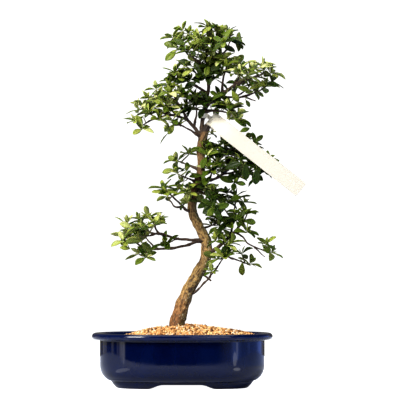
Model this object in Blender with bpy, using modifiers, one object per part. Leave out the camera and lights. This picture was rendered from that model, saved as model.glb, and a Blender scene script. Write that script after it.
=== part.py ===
"""Satsuki azalea bonsai: the tree, its glazed oval pot, its soil and a blank label.

All tables are in millimetres, measured from the pot's centre on the ground, with X to the right,
Y to the back and Z up. The last step shifts the part so that the origin is the centre of the
bottom of its bounding box. The built scene is in metres.
"""

import math
import random

import bmesh
import bpy
from mathutils import Matrix, Vector
from mathutils.bvhtree import BVHTree

MM = 0.001
GAP = 0.3
UP = Vector((0.0, 0.0, 1.0))

# Pot: half axes of the body's outline, and how square the oval is above and at the ground
POT_HALF_X = 102.5
POT_HALF_Y = 76.0
POT_POWER = 2.5
FOOT_POWER = 3.4
POT_SEGMENTS = 32
POT_TOP = 67.2
POT_FLOOR = 12.0
POT_UNDERSIDE = 5.4
WALL = 6.0
LIP = 10.0
FOOT_OUTER = -22.0
FOOT_INNER = -31.0
FRONT_ARCH_HALF = 43.0
FRONT_ARCH_SLOPE = 20.0
SIDE_ARCH_HALF = 16.0
SIDE_ARCH_SLOPE = 10.0
ARCH_STEPS = 4
ARCH_BELOW = 4.0
ARCH_REACH = 120.0
DRAIN_RADIUS = 9.0
DRAIN_X = 42.0

# Soil: a mound a little right of the middle, with a relief of coarse grain
SOIL_EDGE = 62.6
SOIL_RISE = 15.6
SOIL_PEAK_X = 6.0
SOIL_SPREAD = 105.0
SOIL_BLUNT = 9.0
SOIL_SQUASH = 0.72
SOIL_RINGS = 9
GRAIN_RELIEF = 0.7
HOLE_BOTTOM = 45.0

# Trunk: x, y, z and radius
TRUNK = (
    (-7.5, 0.0, 45.3, 8.8), (-6.9, 0.0, 68.0, 9.6), (-5.6, 0.0, 83.0, 8.8), (-1.6, 1.0, 95.6, 8.3),
    (2.5, 2.0, 108.1, 7.7), (7.1, 4.0, 120.0, 7.5), (14.4, 6.0, 133.0, 7.0), (22.0, 8.0, 145.6, 6.8),
    (27.6, 9.0, 155.5, 6.5), (30.3, 10.0, 168.0, 6.6), (29.6, 10.0, 181.9, 6.6),
    (21.5, 7.0, 199.4, 6.0), (14.0, 2.0, 215.0, 5.6), (12.8, -2.0, 233.1, 5.4),
    (17.6, -6.0, 250.6, 5.4), (22.8, -7.0, 267.0, 5.1), (23.6, -7.0, 281.0, 5.0),
    (22.8, -6.0, 297.0, 5.0), (25.2, -5.0, 308.1, 5.2),
)
TRUNK_STEPS = 1

# Branches: each starts inside the wood that carries it
BRANCHES = {
    "stub": ((25.2, -5.0, 306.0, 4.9), (28.4, -4.6, 316.0, 4.7), (32.0, -4.2, 326.0, 4.3)),
    "leader": (
        (25.0, -4.6, 306.0, 4.4), (24.2, -1.0, 320.0, 4.0), (24.8, 1.0, 332.0, 3.6),
        (27.8, 3.0, 348.0, 3.4), (32.1, 5.0, 368.0, 3.1), (32.6, 4.0, 384.0, 2.7),
        (30.9, 2.0, 398.0, 2.3), (29.8, 0.0, 410.0, 2.0), (31.2, -2.0, 426.0, 1.6),
        (32.4, -3.0, 438.0, 1.2),
    ),
    "cut_twig": ((23.0, 8.0, 142.0, 2.0), (29.5, 6.5, 137.0, 1.6), (36.0, 5.0, 132.0, 1.3)),
    "low_left_front": (
        (26.0, 8.0, 183.0, 3.0), (9.1, 3.0, 183.4, 2.4), (-6.6, -3.0, 185.0, 2.3),
        (-17.4, -8.0, 187.9, 2.2), (-29.6, -13.0, 191.0, 2.1), (-38.0, -17.0, 188.6, 1.7),
        (-45.0, -20.0, 187.6, 1.4),
    ),
    "low_left_front_up": ((-29.0, -13.0, 190.6, 1.7), (-32.5, -15.0, 196.0, 1.5),
                          (-34.0, -18.0, 200.5, 1.2)),
    "low_left_mid_up": ((-36.0, -16.0, 189.2, 1.6), (-41.0, -10.0, 193.5, 1.4),
                        (-44.5, -4.0, 197.0, 1.2)),
    "low_left_front_side": ((-24.0, -11.0, 189.6, 1.7), (-30.0, -23.0, 190.0, 1.5),
                            (-37.0, -34.0, 191.5, 1.2)),
    "low_left_back": (
        (26.0, 10.0, 182.0, 3.0), (16.4, 12.0, 180.8, 2.5), (5.6, 15.0, 176.8, 2.3),
        (-8.8, 18.0, 173.6, 2.2), (-23.1, 20.0, 172.1, 2.1), (-35.4, 20.0, 172.0, 2.0),
        (-46.0, 19.0, 173.0, 1.9), (-53.3, 19.0, 176.4, 1.7), (-62.0, 19.0, 183.6, 1.5),
        (-66.5, 18.0, 191.0, 1.2),
    ),
    "low_left_back_side": ((-31.0, 20.0, 172.0, 1.7), (-39.0, 29.0, 178.0, 1.5),
                           (-46.0, 37.0, 186.0, 1.2)),
    "low_right": (
        (29.5, 10.0, 165.0, 4.2), (43.0, 5.0, 172.5, 3.3), (53.0, -1.0, 182.0, 2.9),
        (61.8, -5.0, 189.0, 2.6), (66.2, -7.0, 195.0, 2.2), (73.0, -8.0, 202.0, 1.6),
    ),
    "low_right_up": ((60.5, -4.2, 188.0, 2.0), (62.5, 4.0, 202.0, 1.8), (64.6, 10.0, 217.0, 1.6),
                     (66.2, 12.0, 228.0, 1.2)),
    "low_right_far": ((65.0, -6.6, 193.4, 1.9), (74.6, -10.0, 187.4, 1.5),
                      (81.9, -12.0, 179.0, 1.4), (92.0, -10.0, 173.4, 1.3),
                      (99.0, -8.0, 171.0, 1.1)),
    "low_right_bare": ((90.0, -10.4, 174.2, 1.2), (97.0, -9.0, 167.0, 1.0),
                       (103.0, -8.0, 162.0, 0.8)),
    "low_right_low": ((42.0, 5.4, 171.8, 2.1), (54.6, 10.0, 164.6, 1.7), (63.1, 14.0, 160.0, 1.5),
                      (74.5, 18.0, 156.0, 1.2)),
    "low_right_thin": ((22.5, 7.4, 197.0, 2.0), (35.9, 12.0, 201.0, 1.5), (41.5, 17.0, 204.5, 1.2)),
    "low_shoot": ((3.5, 2.4, 111.0, 2.0), (15.0, 2.0, 117.6, 1.7), (24.6, 0.0, 126.4, 1.6),
                  (33.0, -4.0, 135.0, 1.5), (41.4, -8.0, 146.0, 1.4), (50.0, -12.0, 159.0, 1.1)),
    "mid_left": ((13.4, 0.6, 219.0, 2.6), (4.6, -4.0, 220.6, 2.1), (-1.4, -7.0, 226.4, 1.9),
                 (-10.0, -12.0, 235.0, 1.6), (-17.0, -15.0, 241.0, 1.2)),
    "mid_left_back": ((0.5, -5.6, 224.4, 1.8), (-8.5, 0.0, 224.4, 1.5), (-14.0, 6.0, 231.0, 1.2)),
    "mid_left_high": ((18.6, -6.2, 255.0, 2.2), (11.0, -13.0, 258.0, 1.7), (2.5, -19.0, 261.0, 1.3)),
    "mid_left_top": ((22.8, -7.0, 269.0, 2.1), (11.4, -4.0, 275.0, 1.7), (2.5, 1.0, 279.0, 1.3)),
    "mid_front": ((13.2, -3.0, 236.0, 2.2), (11.5, -13.0, 238.0, 1.7), (8.5, -22.0, 238.5, 1.3)),
    "mid_front_right": ((16.0, -5.0, 246.0, 2.3), (26.0, -13.0, 242.0, 1.7),
                        (33.0, -20.0, 239.0, 1.3)),
    "mid_back": ((13.0, -1.6, 230.0, 2.4), (15.5, 13.0, 236.0, 1.8), (20.0, 26.0, 241.0, 1.3)),
    "mid_right": (
        (18.4, -6.0, 252.6, 3.0), (31.6, -2.0, 257.4, 2.6), (40.3, 2.0, 259.6, 2.4),
        (47.4, 5.0, 263.4, 2.2), (54.6, 8.0, 266.3, 2.0), (66.0, 10.0, 268.0, 1.8),
        (76.0, 10.0, 268.0, 1.6), (86.0, 9.0, 270.4, 1.4), (94.0, 7.0, 272.6, 1.1),
    ),
    "mid_right_back": ((45.0, 4.0, 262.2, 1.9), (51.0, 20.0, 267.6, 1.6), (57.0, 34.0, 271.6, 1.2)),
    "mid_right_up": ((23.4, -6.8, 281.0, 2.6), (33.0, 4.0, 286.4, 2.1), (43.4, 12.0, 291.6, 1.9),
                     (54.6, 17.0, 292.8, 1.7), (67.0, 18.0, 289.6, 1.5), (79.0, 17.0, 285.6, 1.4),
                     (92.0, 14.0, 282.8, 1.1)),
    "mid_right_top": ((52.0, 16.2, 292.6, 1.7), (64.0, 15.0, 297.4, 1.4), (76.0, 12.0, 298.6, 1.1)),
    "up_left": (
        (24.4, -4.0, 309.0, 4.0), (20.4, -3.0, 316.0, 3.4), (15.4, -2.0, 323.4, 3.1),
        (10.0, 0.0, 330.0, 2.8), (4.0, 2.0, 334.6, 2.5), (-7.9, 4.0, 338.8, 2.3),
        (-19.4, 6.0, 341.6, 2.1), (-33.0, 5.0, 345.0, 1.8), (-45.4, 2.0, 347.0, 1.2),
    ),
    "up_left_low": ((-15.0, 5.2, 340.6, 2.0), (-26.0, 0.0, 337.2, 1.7), (-37.0, -6.0, 333.8, 1.5),
                    (-44.3, -10.0, 329.4, 1.4), (-50.0, -12.0, 325.4, 1.1)),
    "up_left_thin": ((22.6, -4.4, 312.0, 2.2), (10.0, -12.0, 319.8, 1.6), (-0.9, -17.0, 325.2, 1.4),
                     (-7.0, -19.0, 325.4, 1.1)),
    "up_left_rise": ((6.0, 1.4, 333.2, 2.3), (0.0, -5.0, 345.0, 1.8), (-7.0, -10.0, 356.0, 1.6),
                     (-12.0, -13.0, 365.0, 1.2)),
    "up_left_back": ((-5.0, 3.6, 338.0, 2.1), (-14.0, 17.0, 347.0, 1.7), (-24.0, 28.0, 355.0, 1.2)),
    "up_left_crown": ((-16.0, 5.6, 340.8, 2.0), (-26.0, 9.0, 353.0, 1.6), (-31.0, 11.0, 363.0, 1.2)),
    "up_stem": ((14.6, -1.8, 324.6, 1.9), (17.4, -6.0, 337.0, 1.5), (17.4, -9.0, 350.0, 1.2)),
    "under": ((27.0, 2.4, 344.0, 2.6), (39.6, -4.0, 344.6, 2.0), (51.0, -8.0, 343.0, 1.6),
              (58.0, -10.0, 341.0, 1.2)),
    "right": (
        (27.8, 3.0, 349.0, 3.3), (39.6, 3.0, 360.6, 2.9), (52.6, 1.0, 369.0, 2.6),
        (62.1, -2.0, 373.6, 2.3), (75.9, -5.0, 381.0, 1.9), (88.0, -6.0, 386.4, 1.6),
        (97.0, -6.0, 389.4, 1.2),
    ),
    "right_up": ((50.0, 1.4, 367.2, 2.2), (50.6, -4.0, 382.0, 1.7), (54.0, -8.0, 394.0, 1.2)),
    "right_mid": ((64.0, -2.4, 374.6, 1.9), (69.6, 5.0, 385.0, 1.6), (73.0, 11.0, 393.0, 1.2)),
    "right_front": ((58.0, -0.6, 371.6, 1.9), (65.0, -15.0, 376.4, 1.5), (72.0, -27.0, 380.0, 1.2)),
    "right_low": ((42.0, 3.0, 362.0, 2.4), (56.0, 10.0, 363.0, 2.0), (71.8, 14.0, 363.4, 1.8),
                  (82.6, 16.0, 366.0, 1.6), (93.0, 16.0, 370.0, 1.2)),
    "right_bare": ((78.0, 15.2, 364.8, 1.3), (86.0, 13.0, 360.4, 1.1), (92.0, 12.0, 358.4, 0.9)),
    "right_back": ((66.0, 12.6, 363.4, 1.8), (73.0, 26.0, 368.0, 1.5), (79.0, 36.0, 373.0, 1.2)),
    "top_left": ((32.0, 5.0, 366.0, 2.7), (20.0, 3.0, 374.6, 2.1), (6.0, -1.0, 382.0, 1.7),
                 (-3.0, -4.0, 387.0, 1.2)),
    "top_left_mid": ((31.6, 3.0, 392.0, 2.4), (17.0, 6.0, 407.0, 1.8), (6.0, 10.0, 418.0, 1.5),
                     (0.5, 12.0, 426.0, 1.2)),
    "top_left_front": ((31.2, 2.4, 396.0, 2.2), (22.0, -11.0, 405.0, 1.6), (13.0, -21.0, 410.0, 1.2)),
    "top_right": ((29.8, 0.2, 407.0, 2.1), (44.6, -4.0, 412.6, 1.7), (55.0, -6.0, 420.6, 1.5),
                  (59.0, -8.0, 430.0, 1.2)),
    "top_back": ((30.6, 1.4, 401.0, 2.2), (33.0, 15.0, 407.0, 1.6), (35.0, 28.0, 414.0, 1.2)),
}

# Leafy shoots: the branch, how far along it the shoot leaves, and the centre of each whorl.
# A shoot at 1.0 grows on from the branch's tip; the others stand on a woody spur.
SPRAYS = (
    ("low_left_back", 1.00, ((-70, 15, 204), (-75, 25, 189), (-73, 6, 182))),
    ("low_left_back", 0.70, ((-55, 26, 166), (-46, 12, 162))),
    ("low_left_mid_up", 1.00, ((-54, 2, 209), (-55, 6, 195))),
    ("low_left_front_up", 1.00, ((-42, -12, 211), (-31, -21, 208))),
    ("low_left_front", 1.00, ((-57, -24, 192), (-51, -14, 181))),
    ("low_left_front", 0.42, ((-21, -14, 178),)),
    ("low_left_back_side", 1.00, ((-58, 42, 193), (-44, 46, 199))),
    ("low_left_front_side", 1.00, ((-49, -40, 198), (-34, -44, 202))),
    ("low_right_up", 1.00, ((67, 14, 238), (56, 22, 242))),
    ("low_right_up", 0.50, ((49, 0, 227),)),
    ("low_right", 1.00, ((76, -14, 214), (64, -18, 211), (81, 6, 216))),
    ("low_right", 0.78, ((80, -26, 193),)),
    ("low_right_thin", 1.00, ((43, 22, 211), (50, 26, 199))),
    ("low_right", 0.45, ((42, -16, 182), (56, -22, 176))),
    ("low_right_far", 1.00, ((111, -4, 168), (104, -18, 178))),
    ("low_right_low", 1.00, ((85, 23, 154), (75, 26, 166))),
    ("low_shoot", 1.00, ((56, -15, 166), (46, -16, 160))),
    ("low_shoot", 0.60, ((36, -22, 144),)),
    ("mid_left", 1.00, ((-23, -16, 247),)),
    ("mid_left_back", 1.00, ((-19, 16, 239), (-6, 12, 246))),
    ("mid_left_high", 1.00, ((-6, -22, 266), (5, -31, 268))),
    ("mid_left_top", 1.00, ((-6, 4, 283), (8, 3, 291))),
    ("mid_front", 1.00, ((6, -29, 242), (5, -26, 229))),
    ("mid_front_right", 1.00, ((39, -24, 243), (35, -26, 231))),
    ("mid_back", 1.00, ((24, 34, 248), (38, 30, 240))),
    ("mid_right", 0.22, ((34, -17, 271), (43, -12, 279))),
    ("mid_right", 0.62, ((64, 0, 276), (70, -4, 263))),
    ("mid_right", 1.00, ((103, 2, 271), (93, -2, 262))),
    ("mid_right_back", 1.00, ((60, 41, 278), (47, 38, 274))),
    ("mid_right_up", 0.22, ((34, -8, 299), (31, -15, 288))),
    ("mid_right_up", 0.60, ((64, 30, 299), (70, 34, 288))),
    ("mid_right_up", 1.00, ((105, 10, 284), (96, 22, 289))),
    ("mid_right_top", 1.00, ((86, 8, 301), (82, 20, 308))),
    ("mid_right_top", 0.30, ((52, 4, 304),)),
    ("up_left", 1.00, ((-56, 0, 347), (-50, 12, 352))),
    ("up_left_low", 1.00, ((-58, -15, 331), (-50, -20, 321))),
    ("up_left_low", 0.50, ((-42, -16, 342), (-29, -17, 333))),
    ("up_left_crown", 1.00, ((-33, 15, 374), (-42, 10, 362))),
    ("up_left", 0.72, ((-30, -9, 355), (-19, -15, 350))),
    ("up_left_back", 1.00, ((-31, 38, 362), (-18, 38, 363))),
    ("up_left_rise", 1.00, ((-16, -17, 375), (-25, -16, 365), (-5, -18, 366))),
    ("up_left_thin", 1.00, ((-13, -24, 331), (-15, -20, 319))),
    ("up_stem", 1.00, ((17, -14, 361), (7, -13, 351))),
    ("under", 1.00, ((69, -14, 333), (56, -16, 350), (58, -6, 334))),
    ("right_up", 1.00, ((53, -11, 407), (64, -12, 402))),
    ("right_mid", 1.00, ((71, 17, 403), (84, 14, 398))),
    ("right", 1.00, ((101, -8, 400), (110, -4, 392), (92, -14, 396))),
    ("right_front", 1.00, ((82, -34, 386), (68, -34, 389))),
    ("right_low", 1.00, ((103, 19, 377), (112, 10, 382))),
    ("right_back", 1.00, ((86, 43, 382), (72, 44, 381))),
    ("top_left", 1.00, ((-9, -8, 393), (-6, 2, 379))),
    ("leader", 1.00, ((33, -4, 450), (22, -9, 436), (42, 6, 438))),
    ("top_right", 1.00, ((56, -11, 442), (68, -2, 433), (58, -22, 434))),
    ("top_left_mid", 1.00, ((-2, 15, 438), (7, 8, 443), (-6, 4, 423))),
    ("top_left_front", 1.00, ((8, -28, 417), (20, -30, 426))),
    ("top_back", 1.00, ((36, 37, 422), (48, 32, 416))),
)

# Shoots and leaves
SPUR_SHARE = 0.45
SPUR_RADIUS = 1.15
SHOOT_RADIUS = 1.0
BEND_REACH = 5.0
BEND_SHARE = 0.35
GROWTH_AHEAD = 0.6
GROWTH_UP = 0.7
FORK_DEPTH = 1.2
FORK_RADIUS = 0.7
HUB_HEIGHT = 1.5
HUB_RADIUS = 1.25
FIRST_WHORL_LEAVES = 5
NEXT_WHORL_LEAVES = 4
LEAF_LENGTH = (19.0, 25.0)
LEAF_SLENDERNESS = 0.42
LEAF_SHOULDER = 0.27
SHOULDER_WIDTH = 0.80
LEAF_BELLY = 0.66
LOW_TILT = (74.0, 92.0)
HIGH_TILT = (46.0, 66.0)
LEAF_THICKNESS = 1.1
LEAF_FOLD = 0.9
LEAF_DROOP = 0.12
LEAF_TRIES = 16
LEAF_SPREAD = 0.22
SWING_STEP = 0.07
TILT_STEP = 4.5
SHRINK_STEP = 0.035
CLEARANCE = 0.5
ROOT_GUARD = 1.2
FREE_SHARE = 0.13
ROOT_SHRINK = 0.94
ROOT_LIFT = 0.06

# Label: a strip with a narrow neck and a band that goes round the leader
LABEL_START = (34.8, 4.2, 336.0)
LABEL_END = (147.0, -34.0, 244.4)
LABEL_WIDTH = 20.0
LABEL_THICKNESS = 0.8
LABEL_NECK = 2.4
LABEL_NECK_LENGTH = 5.6
LABEL_CORNER = 1.5
BAND_CENTRE = (26.0, 1.8, 338.8)
BAND_RADIUS = 5.4
BAND_HEIGHT = 6.0

# Colours and roughness
COLOURS = {
    "glaze": ((0.012, 0.022, 0.115), 0.12),
    "grains": ((0.62, 0.36, 0.15), 0.85),
    "bark": ((0.24, 0.15, 0.07), 0.8),
    "foliage": ((0.07, 0.16, 0.02), 0.4),
    "strip": ((0.88, 0.84, 0.76), 0.45),
}


def clear_scene():
    """Remove every object that the scene starts with."""
    for obj in list(bpy.data.objects):
        bpy.data.objects.remove(obj, do_unlink=True)


def new_collection(name):
    group = bpy.data.collections.new(name)
    bpy.context.scene.collection.children.link(group)
    return group


def material(name):
    """A Principled material with the colour and roughness of one sub-part."""
    colour, roughness = COLOURS[name]
    made = bpy.data.materials.get(name) or bpy.data.materials.new(name)
    made.use_nodes = True
    shader = made.node_tree.nodes["Principled BSDF"]
    shader.inputs["Base Color"].default_value = (*colour, 1.0)
    shader.inputs["Roughness"].default_value = roughness
    shader.inputs["Metallic"].default_value = 0.0
    return made


def add_object(name, mesh, group):
    obj = bpy.data.objects.new(name, mesh)
    group.objects.link(obj)
    return obj


def mesh_from_bmesh(name, bm):
    bmesh.ops.recalc_face_normals(bm, faces=bm.faces)
    mesh = bpy.data.meshes.new(name)
    bm.to_mesh(mesh)
    bm.free()
    return mesh


def evaluated_mesh(obj):
    """The mesh that an object shows, with its modifiers or its bevel worked out."""
    graph = bpy.context.evaluated_depsgraph_get()
    return bpy.data.meshes.new_from_object(obj.evaluated_get(graph), depsgraph=graph)


def smooth_route(points, steps):
    """Points of a Catmull-Rom curve through a route whose rows are x, y, z and radius."""
    rows = [points[0], *points, points[-1]]
    route = []
    for i in range(1, len(rows) - 2):
        before, start, end, after = rows[i - 1:i + 3]
        for step in range(steps):
            t = step / steps
            route.append(tuple(
                0.5 * (2 * b + (c - a) * t + (2 * a - 5 * b + 4 * c - d) * t ** 2
                       + (3 * b - a - 3 * c + d) * t ** 3)
                for a, b, c, d in zip(before, start, end, after)
            ))
    route.append(tuple(points[-1]))
    return route


def tube(name, route, sides, group):
    """A capped tube along a route, as a mesh. The number of sides is even, 4 or more."""
    curve = bpy.data.curves.new(name, "CURVE")
    curve.dimensions = "3D"
    curve.bevel_depth = MM
    curve.bevel_resolution = (sides - 4) // 2
    curve.use_fill_caps = True
    spline = curve.splines.new("POLY")
    spline.points.add(len(route) - 1)
    for point, (x, y, z, radius) in zip(spline.points, route):
        point.co = (x * MM, y * MM, z * MM, 1.0)
        point.radius = radius
    drawn = add_object(name + "_curve", curve, group)
    mesh = evaluated_mesh(drawn)
    bm = bmesh.new()
    bm.from_mesh(mesh)
    bmesh.ops.remove_doubles(bm, verts=bm.verts, dist=1e-6)
    bpy.data.meshes.remove(mesh)
    bpy.data.objects.remove(drawn, do_unlink=True)
    return add_object(name, mesh_from_bmesh(name, bm), group)


def is_closed(mesh):
    """Whether each edge of a mesh joins two faces, and no face is missing."""
    bm = bmesh.new()
    bm.from_mesh(mesh)
    closed = all(edge.is_manifold for edge in bm.edges)
    bm.free()
    return closed


def boolean(host, others, operation):
    """Join or cut a body with a collection of bodies, apply it and remove the collection.

    The exact solver comes first. Where it leaves an edge open, the manifold one does the work.
    """
    group = bpy.data.collections.new(host.name + "_" + operation.lower())
    bpy.context.scene.collection.children.link(group)
    for other in others:
        for owner in list(other.users_collection):
            owner.objects.unlink(other)
        group.objects.link(other)
        other.hide_render = True
        other.display_type = "WIRE"
    modifier = host.modifiers.new(operation.lower(), "BOOLEAN")
    modifier.operation = operation
    modifier.operand_type = "COLLECTION"
    modifier.collection = group
    modifier.solver = "EXACT"
    mesh = evaluated_mesh(host)
    if not is_closed(mesh):
        modifier.solver = "MANIFOLD"
        mesh = evaluated_mesh(host)
    host.modifiers.remove(modifier)
    host.data = mesh
    for other in list(group.objects):
        bpy.data.objects.remove(other, do_unlink=True)
    bpy.data.collections.remove(group)


def oval(angle, offset, z):
    """A point of the pot's outline, grown outwards by an offset. It grows squarer in the foot."""
    c, s = math.cos(angle), math.sin(angle)
    share = max(0.0, 1.0 - z / POT_FLOOR)
    power = 2.0 / (POT_POWER + (FOOT_POWER - POT_POWER) * share)
    x = (POT_HALF_X + offset) * math.copysign(abs(c) ** power, c)
    y = (POT_HALF_Y + offset) * math.copysign(abs(s) ** power, s)
    return x, y


def oval_loft(name, rings, segments, group, height=None):
    """A closed solid of oval rings, each an offset and a height, with a fan at both ends."""
    bm = bmesh.new()
    loops = []
    for offset, z in rings:
        loop = []
        for i in range(segments):
            x, y = oval(2 * math.pi * i / segments, offset, POT_TOP if z is None else z)
            top = height(x, y) if height and z is None else z
            loop.append(bm.verts.new((x * MM, y * MM, top * MM)))
        loops.append(loop)
    for lower, upper in zip(loops, loops[1:]):
        for i in range(segments):
            j = (i + 1) % segments
            bm.faces.new((lower[i], lower[j], upper[j], upper[i]))
    for loop in (loops[0], loops[-1]):
        centre = sum((v.co for v in loop), Vector()) / segments
        if height and loop is loops[-1]:
            centre.z = height(0.0, 0.0) * MM
        hub = bm.verts.new(centre)
        for i in range(segments):
            bm.faces.new((loop[i], loop[(i + 1) % segments], hub))
    bmesh.ops.triangulate(bm, faces=bm.faces)
    return add_object(name, mesh_from_bmesh(name, bm), group)


def arch_cutter(name, half, slope, along_y, group):
    """A low arch with curved ends that runs right through the foot ring."""
    curve = bpy.data.curves.new(name, "CURVE")
    curve.dimensions = "2D"
    curve.fill_mode = "BOTH"
    curve.extrude = ARCH_REACH * MM
    spline = curve.splines.new("POLY")
    rise = [
        (half - slope * k / ARCH_STEPS,
         POT_UNDERSIDE * 0.5 * (1 - math.cos(math.pi * k / ARCH_STEPS)))
        for k in range(ARCH_STEPS + 1)
    ]
    outline = [(-x, z) for x, z in rise] + [(x, z) for x, z in reversed(rise)]
    outline += [(half, -ARCH_BELOW), (-half, -ARCH_BELOW)]
    spline.points.add(len(outline) - 1)
    for point, (x, z) in zip(spline.points, outline):
        point.co = (x * MM, z * MM, 0.0, 1.0)
    spline.use_cyclic_u = True
    drawn = add_object(name + "_curve", curve, group)
    turn = Matrix.Rotation(math.radians(90), 4, "X")
    if not along_y:
        turn = Matrix.Rotation(math.radians(90), 4, "Z") @ turn
    mesh = evaluated_mesh(drawn)
    bm = bmesh.new()
    bm.from_mesh(mesh)
    bmesh.ops.remove_doubles(bm, verts=bm.verts, dist=1e-6)
    bmesh.ops.transform(bm, matrix=turn, verts=bm.verts)
    bpy.data.meshes.remove(mesh)
    bpy.data.objects.remove(drawn, do_unlink=True)
    return add_object(name, mesh_from_bmesh(name, bm), group)


def drain_cutter(name, x, group):
    bm = bmesh.new()
    bmesh.ops.create_cone(
        bm, cap_ends=True, segments=16, radius1=DRAIN_RADIUS * MM, radius2=DRAIN_RADIUS * MM,
        depth=20.0 * MM, matrix=Matrix.Translation((x * MM, 0.0, 9.0 * MM)),
    )
    return add_object(name, mesh_from_bmesh(name, bm), group)


def build_pot(group, cutters):
    """The pot: floor, wall, rounded lip, body, foot band and four feet."""
    inner = -WALL
    rings = (
        (inner - 12.0, POT_FLOOR), (inner - 4.0, POT_FLOOR + 4.0), (inner - 0.6, POT_FLOOR + 13.0),
        (inner, POT_TOP - 3.0), (inner + 3.0, POT_TOP), (LIP - 3.0, POT_TOP),
        (LIP - 0.4, POT_TOP - 2.0), (LIP - 0.2, POT_TOP - 5.2), (LIP - 3.0, POT_TOP - 7.4),
        (0.0, POT_TOP - 9.0), (0.0, 25.0), (-1.8, 18.0), (-6.0, 12.4), (-13.6, 8.0),
        (-19.0, 2.6), (FOOT_OUTER, 0.0), (FOOT_INNER, 0.0),
        (FOOT_INNER - 1.5, POT_UNDERSIDE),
    )
    pot = oval_loft("pot", rings, POT_SEGMENTS, group)
    boolean(pot, [
        arch_cutter("front_arch", FRONT_ARCH_HALF, FRONT_ARCH_SLOPE, True, cutters),
        arch_cutter("side_arch", SIDE_ARCH_HALF, SIDE_ARCH_SLOPE, False, cutters),
        drain_cutter("drain_left", -DRAIN_X, cutters),
        drain_cutter("drain_right", DRAIN_X, cutters),
    ], "DIFFERENCE")
    return pot


def soil_height(x, y):
    """The mound: a blunt cone that falls to the wall, with a relief of coarse grain."""
    reach = math.hypot(x - SOIL_PEAK_X, y / SOIL_SQUASH)
    cone = max(0.0, 1.0 - (math.hypot(reach, SOIL_BLUNT) - 5.0) / SOIL_SPREAD)
    relief = math.sin(0.71 * x + 1.3 * math.sin(0.43 * y)) * math.sin(0.67 * y + math.sin(0.38 * x))
    return SOIL_EDGE + SOIL_RISE * cone + GRAIN_RELIEF * relief


def build_soil(group, cutters):
    """The soil: it fills the pot's inside and has a plain hole for the trunk's foot."""
    wall = -WALL - GAP
    rings = [
        (wall - 12.2, POT_FLOOR + GAP), (wall - 4.2, POT_FLOOR + GAP + 4.1),
        (wall - 0.8, POT_FLOOR + GAP + 13.0), (wall - 0.1, SOIL_EDGE - 8.0),
    ]
    reach = POT_HALF_Y + wall
    for i in range(SOIL_RINGS):
        rings.append((wall - 0.1 - reach * (i / SOIL_RINGS), None))
    soil = oval_loft("soil", rings, POT_SEGMENTS, group, soil_height)
    foot = [(x, y, z, radius + GAP) for x, y, z, radius in smooth_route(TRUNK[:4], TRUNK_STEPS)]
    foot[0] = (foot[0][0], foot[0][1], HOLE_BOTTOM, foot[0][3])
    boolean(soil, [tube("trunk_hole", foot, 10, cutters)], "DIFFERENCE")
    return soil


def point_along(route, share):
    """The place at a share of a route's length."""
    places = [Vector(row[:3]) for row in route]
    lengths = [(b - a).length for a, b in zip(places, places[1:])]
    left = share * sum(lengths)
    for start, end, length in zip(places, places[1:], lengths):
        if left <= length:
            return start.lerp(end, left / length)
        left -= length
    return places[-1]


def spray_seat(branch, share, whorls):
    """The wood's last point for a shoot, its direction there, and its spur's route or None."""
    route = BRANCHES[branch]
    tip = point_along(route, share)
    if share >= 1.0:
        return tip, (tip - Vector(route[-2][:3])).normalized(), None
    middle = sum((Vector(w) for w in whorls), Vector()) / len(whorls)
    seat = tip.lerp(middle, SPUR_SHARE)
    direction = (seat - tip).normalized()
    return seat, direction, ((*tip, SPUR_RADIUS + 0.3), (*seat, SPUR_RADIUS))


def build_trunk(group):
    """The tree's wood in one piece: trunk, stubs, branches, twigs and spurs."""
    trunk = tube("trunk", smooth_route(TRUNK, TRUNK_STEPS), 10, group)
    limbs = []
    for name, route in BRANCHES.items():
        sides = 8 if route[0][3] > 3.5 else 6 if route[0][3] > 2.7 else 4
        limbs.append(tube(name, route, sides, group))
    for number, (branch, share, whorls) in enumerate(SPRAYS):
        spur = spray_seat(branch, share, whorls)[2]
        if spur:
            limbs.append(tube(f"spur_{number}", spur, 4, group))
    boolean(trunk, limbs, "UNION")
    return trunk


def label_frame():
    """The strip's own axes: along it, across it and out of its face."""
    along = (Vector(LABEL_END) - Vector(LABEL_START)).normalized()
    out = Vector((0.0, -1.0, 0.0))
    out = (out - along * out.dot(along)).normalized()
    across = out.cross(along)
    turn = Matrix((along, across, out)).transposed().to_4x4()
    return Matrix.Translation(Vector(LABEL_START) * MM) @ turn


def build_label(group):
    """The blank strip, its neck, and the band that holds it on the leader."""
    length = (Vector(LABEL_END) - Vector(LABEL_START)).length
    half = LABEL_WIDTH / 2
    outline = (
        (-LABEL_NECK_LENGTH, -LABEL_NECK), (0.0, -LABEL_NECK), (0.0, -half),
        (length - LABEL_CORNER, -half), (length, LABEL_CORNER - half),
        (length, half - LABEL_CORNER), (length - LABEL_CORNER, half),
        (0.0, half), (0.0, LABEL_NECK), (-LABEL_NECK_LENGTH, LABEL_NECK),
    )
    curve = bpy.data.curves.new("label_outline", "CURVE")
    curve.dimensions = "2D"
    curve.fill_mode = "BOTH"
    curve.extrude = LABEL_THICKNESS / 2 * MM
    spline = curve.splines.new("POLY")
    spline.points.add(len(outline) - 1)
    for point, (x, y) in zip(spline.points, outline):
        point.co = (x * MM, y * MM, 0.0, 1.0)
    spline.use_cyclic_u = True
    drawn = add_object("label_curve", curve, group)
    mesh = evaluated_mesh(drawn)
    bm = bmesh.new()
    bm.from_mesh(mesh)
    bmesh.ops.remove_doubles(bm, verts=bm.verts, dist=1e-6)
    bmesh.ops.transform(bm, matrix=label_frame(), verts=bm.verts)
    bpy.data.meshes.remove(mesh)
    bpy.data.objects.remove(drawn, do_unlink=True)
    label = add_object("label", mesh_from_bmesh("label", bm), group)
    boolean(label, [build_band(group)], "UNION")
    return label


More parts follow.
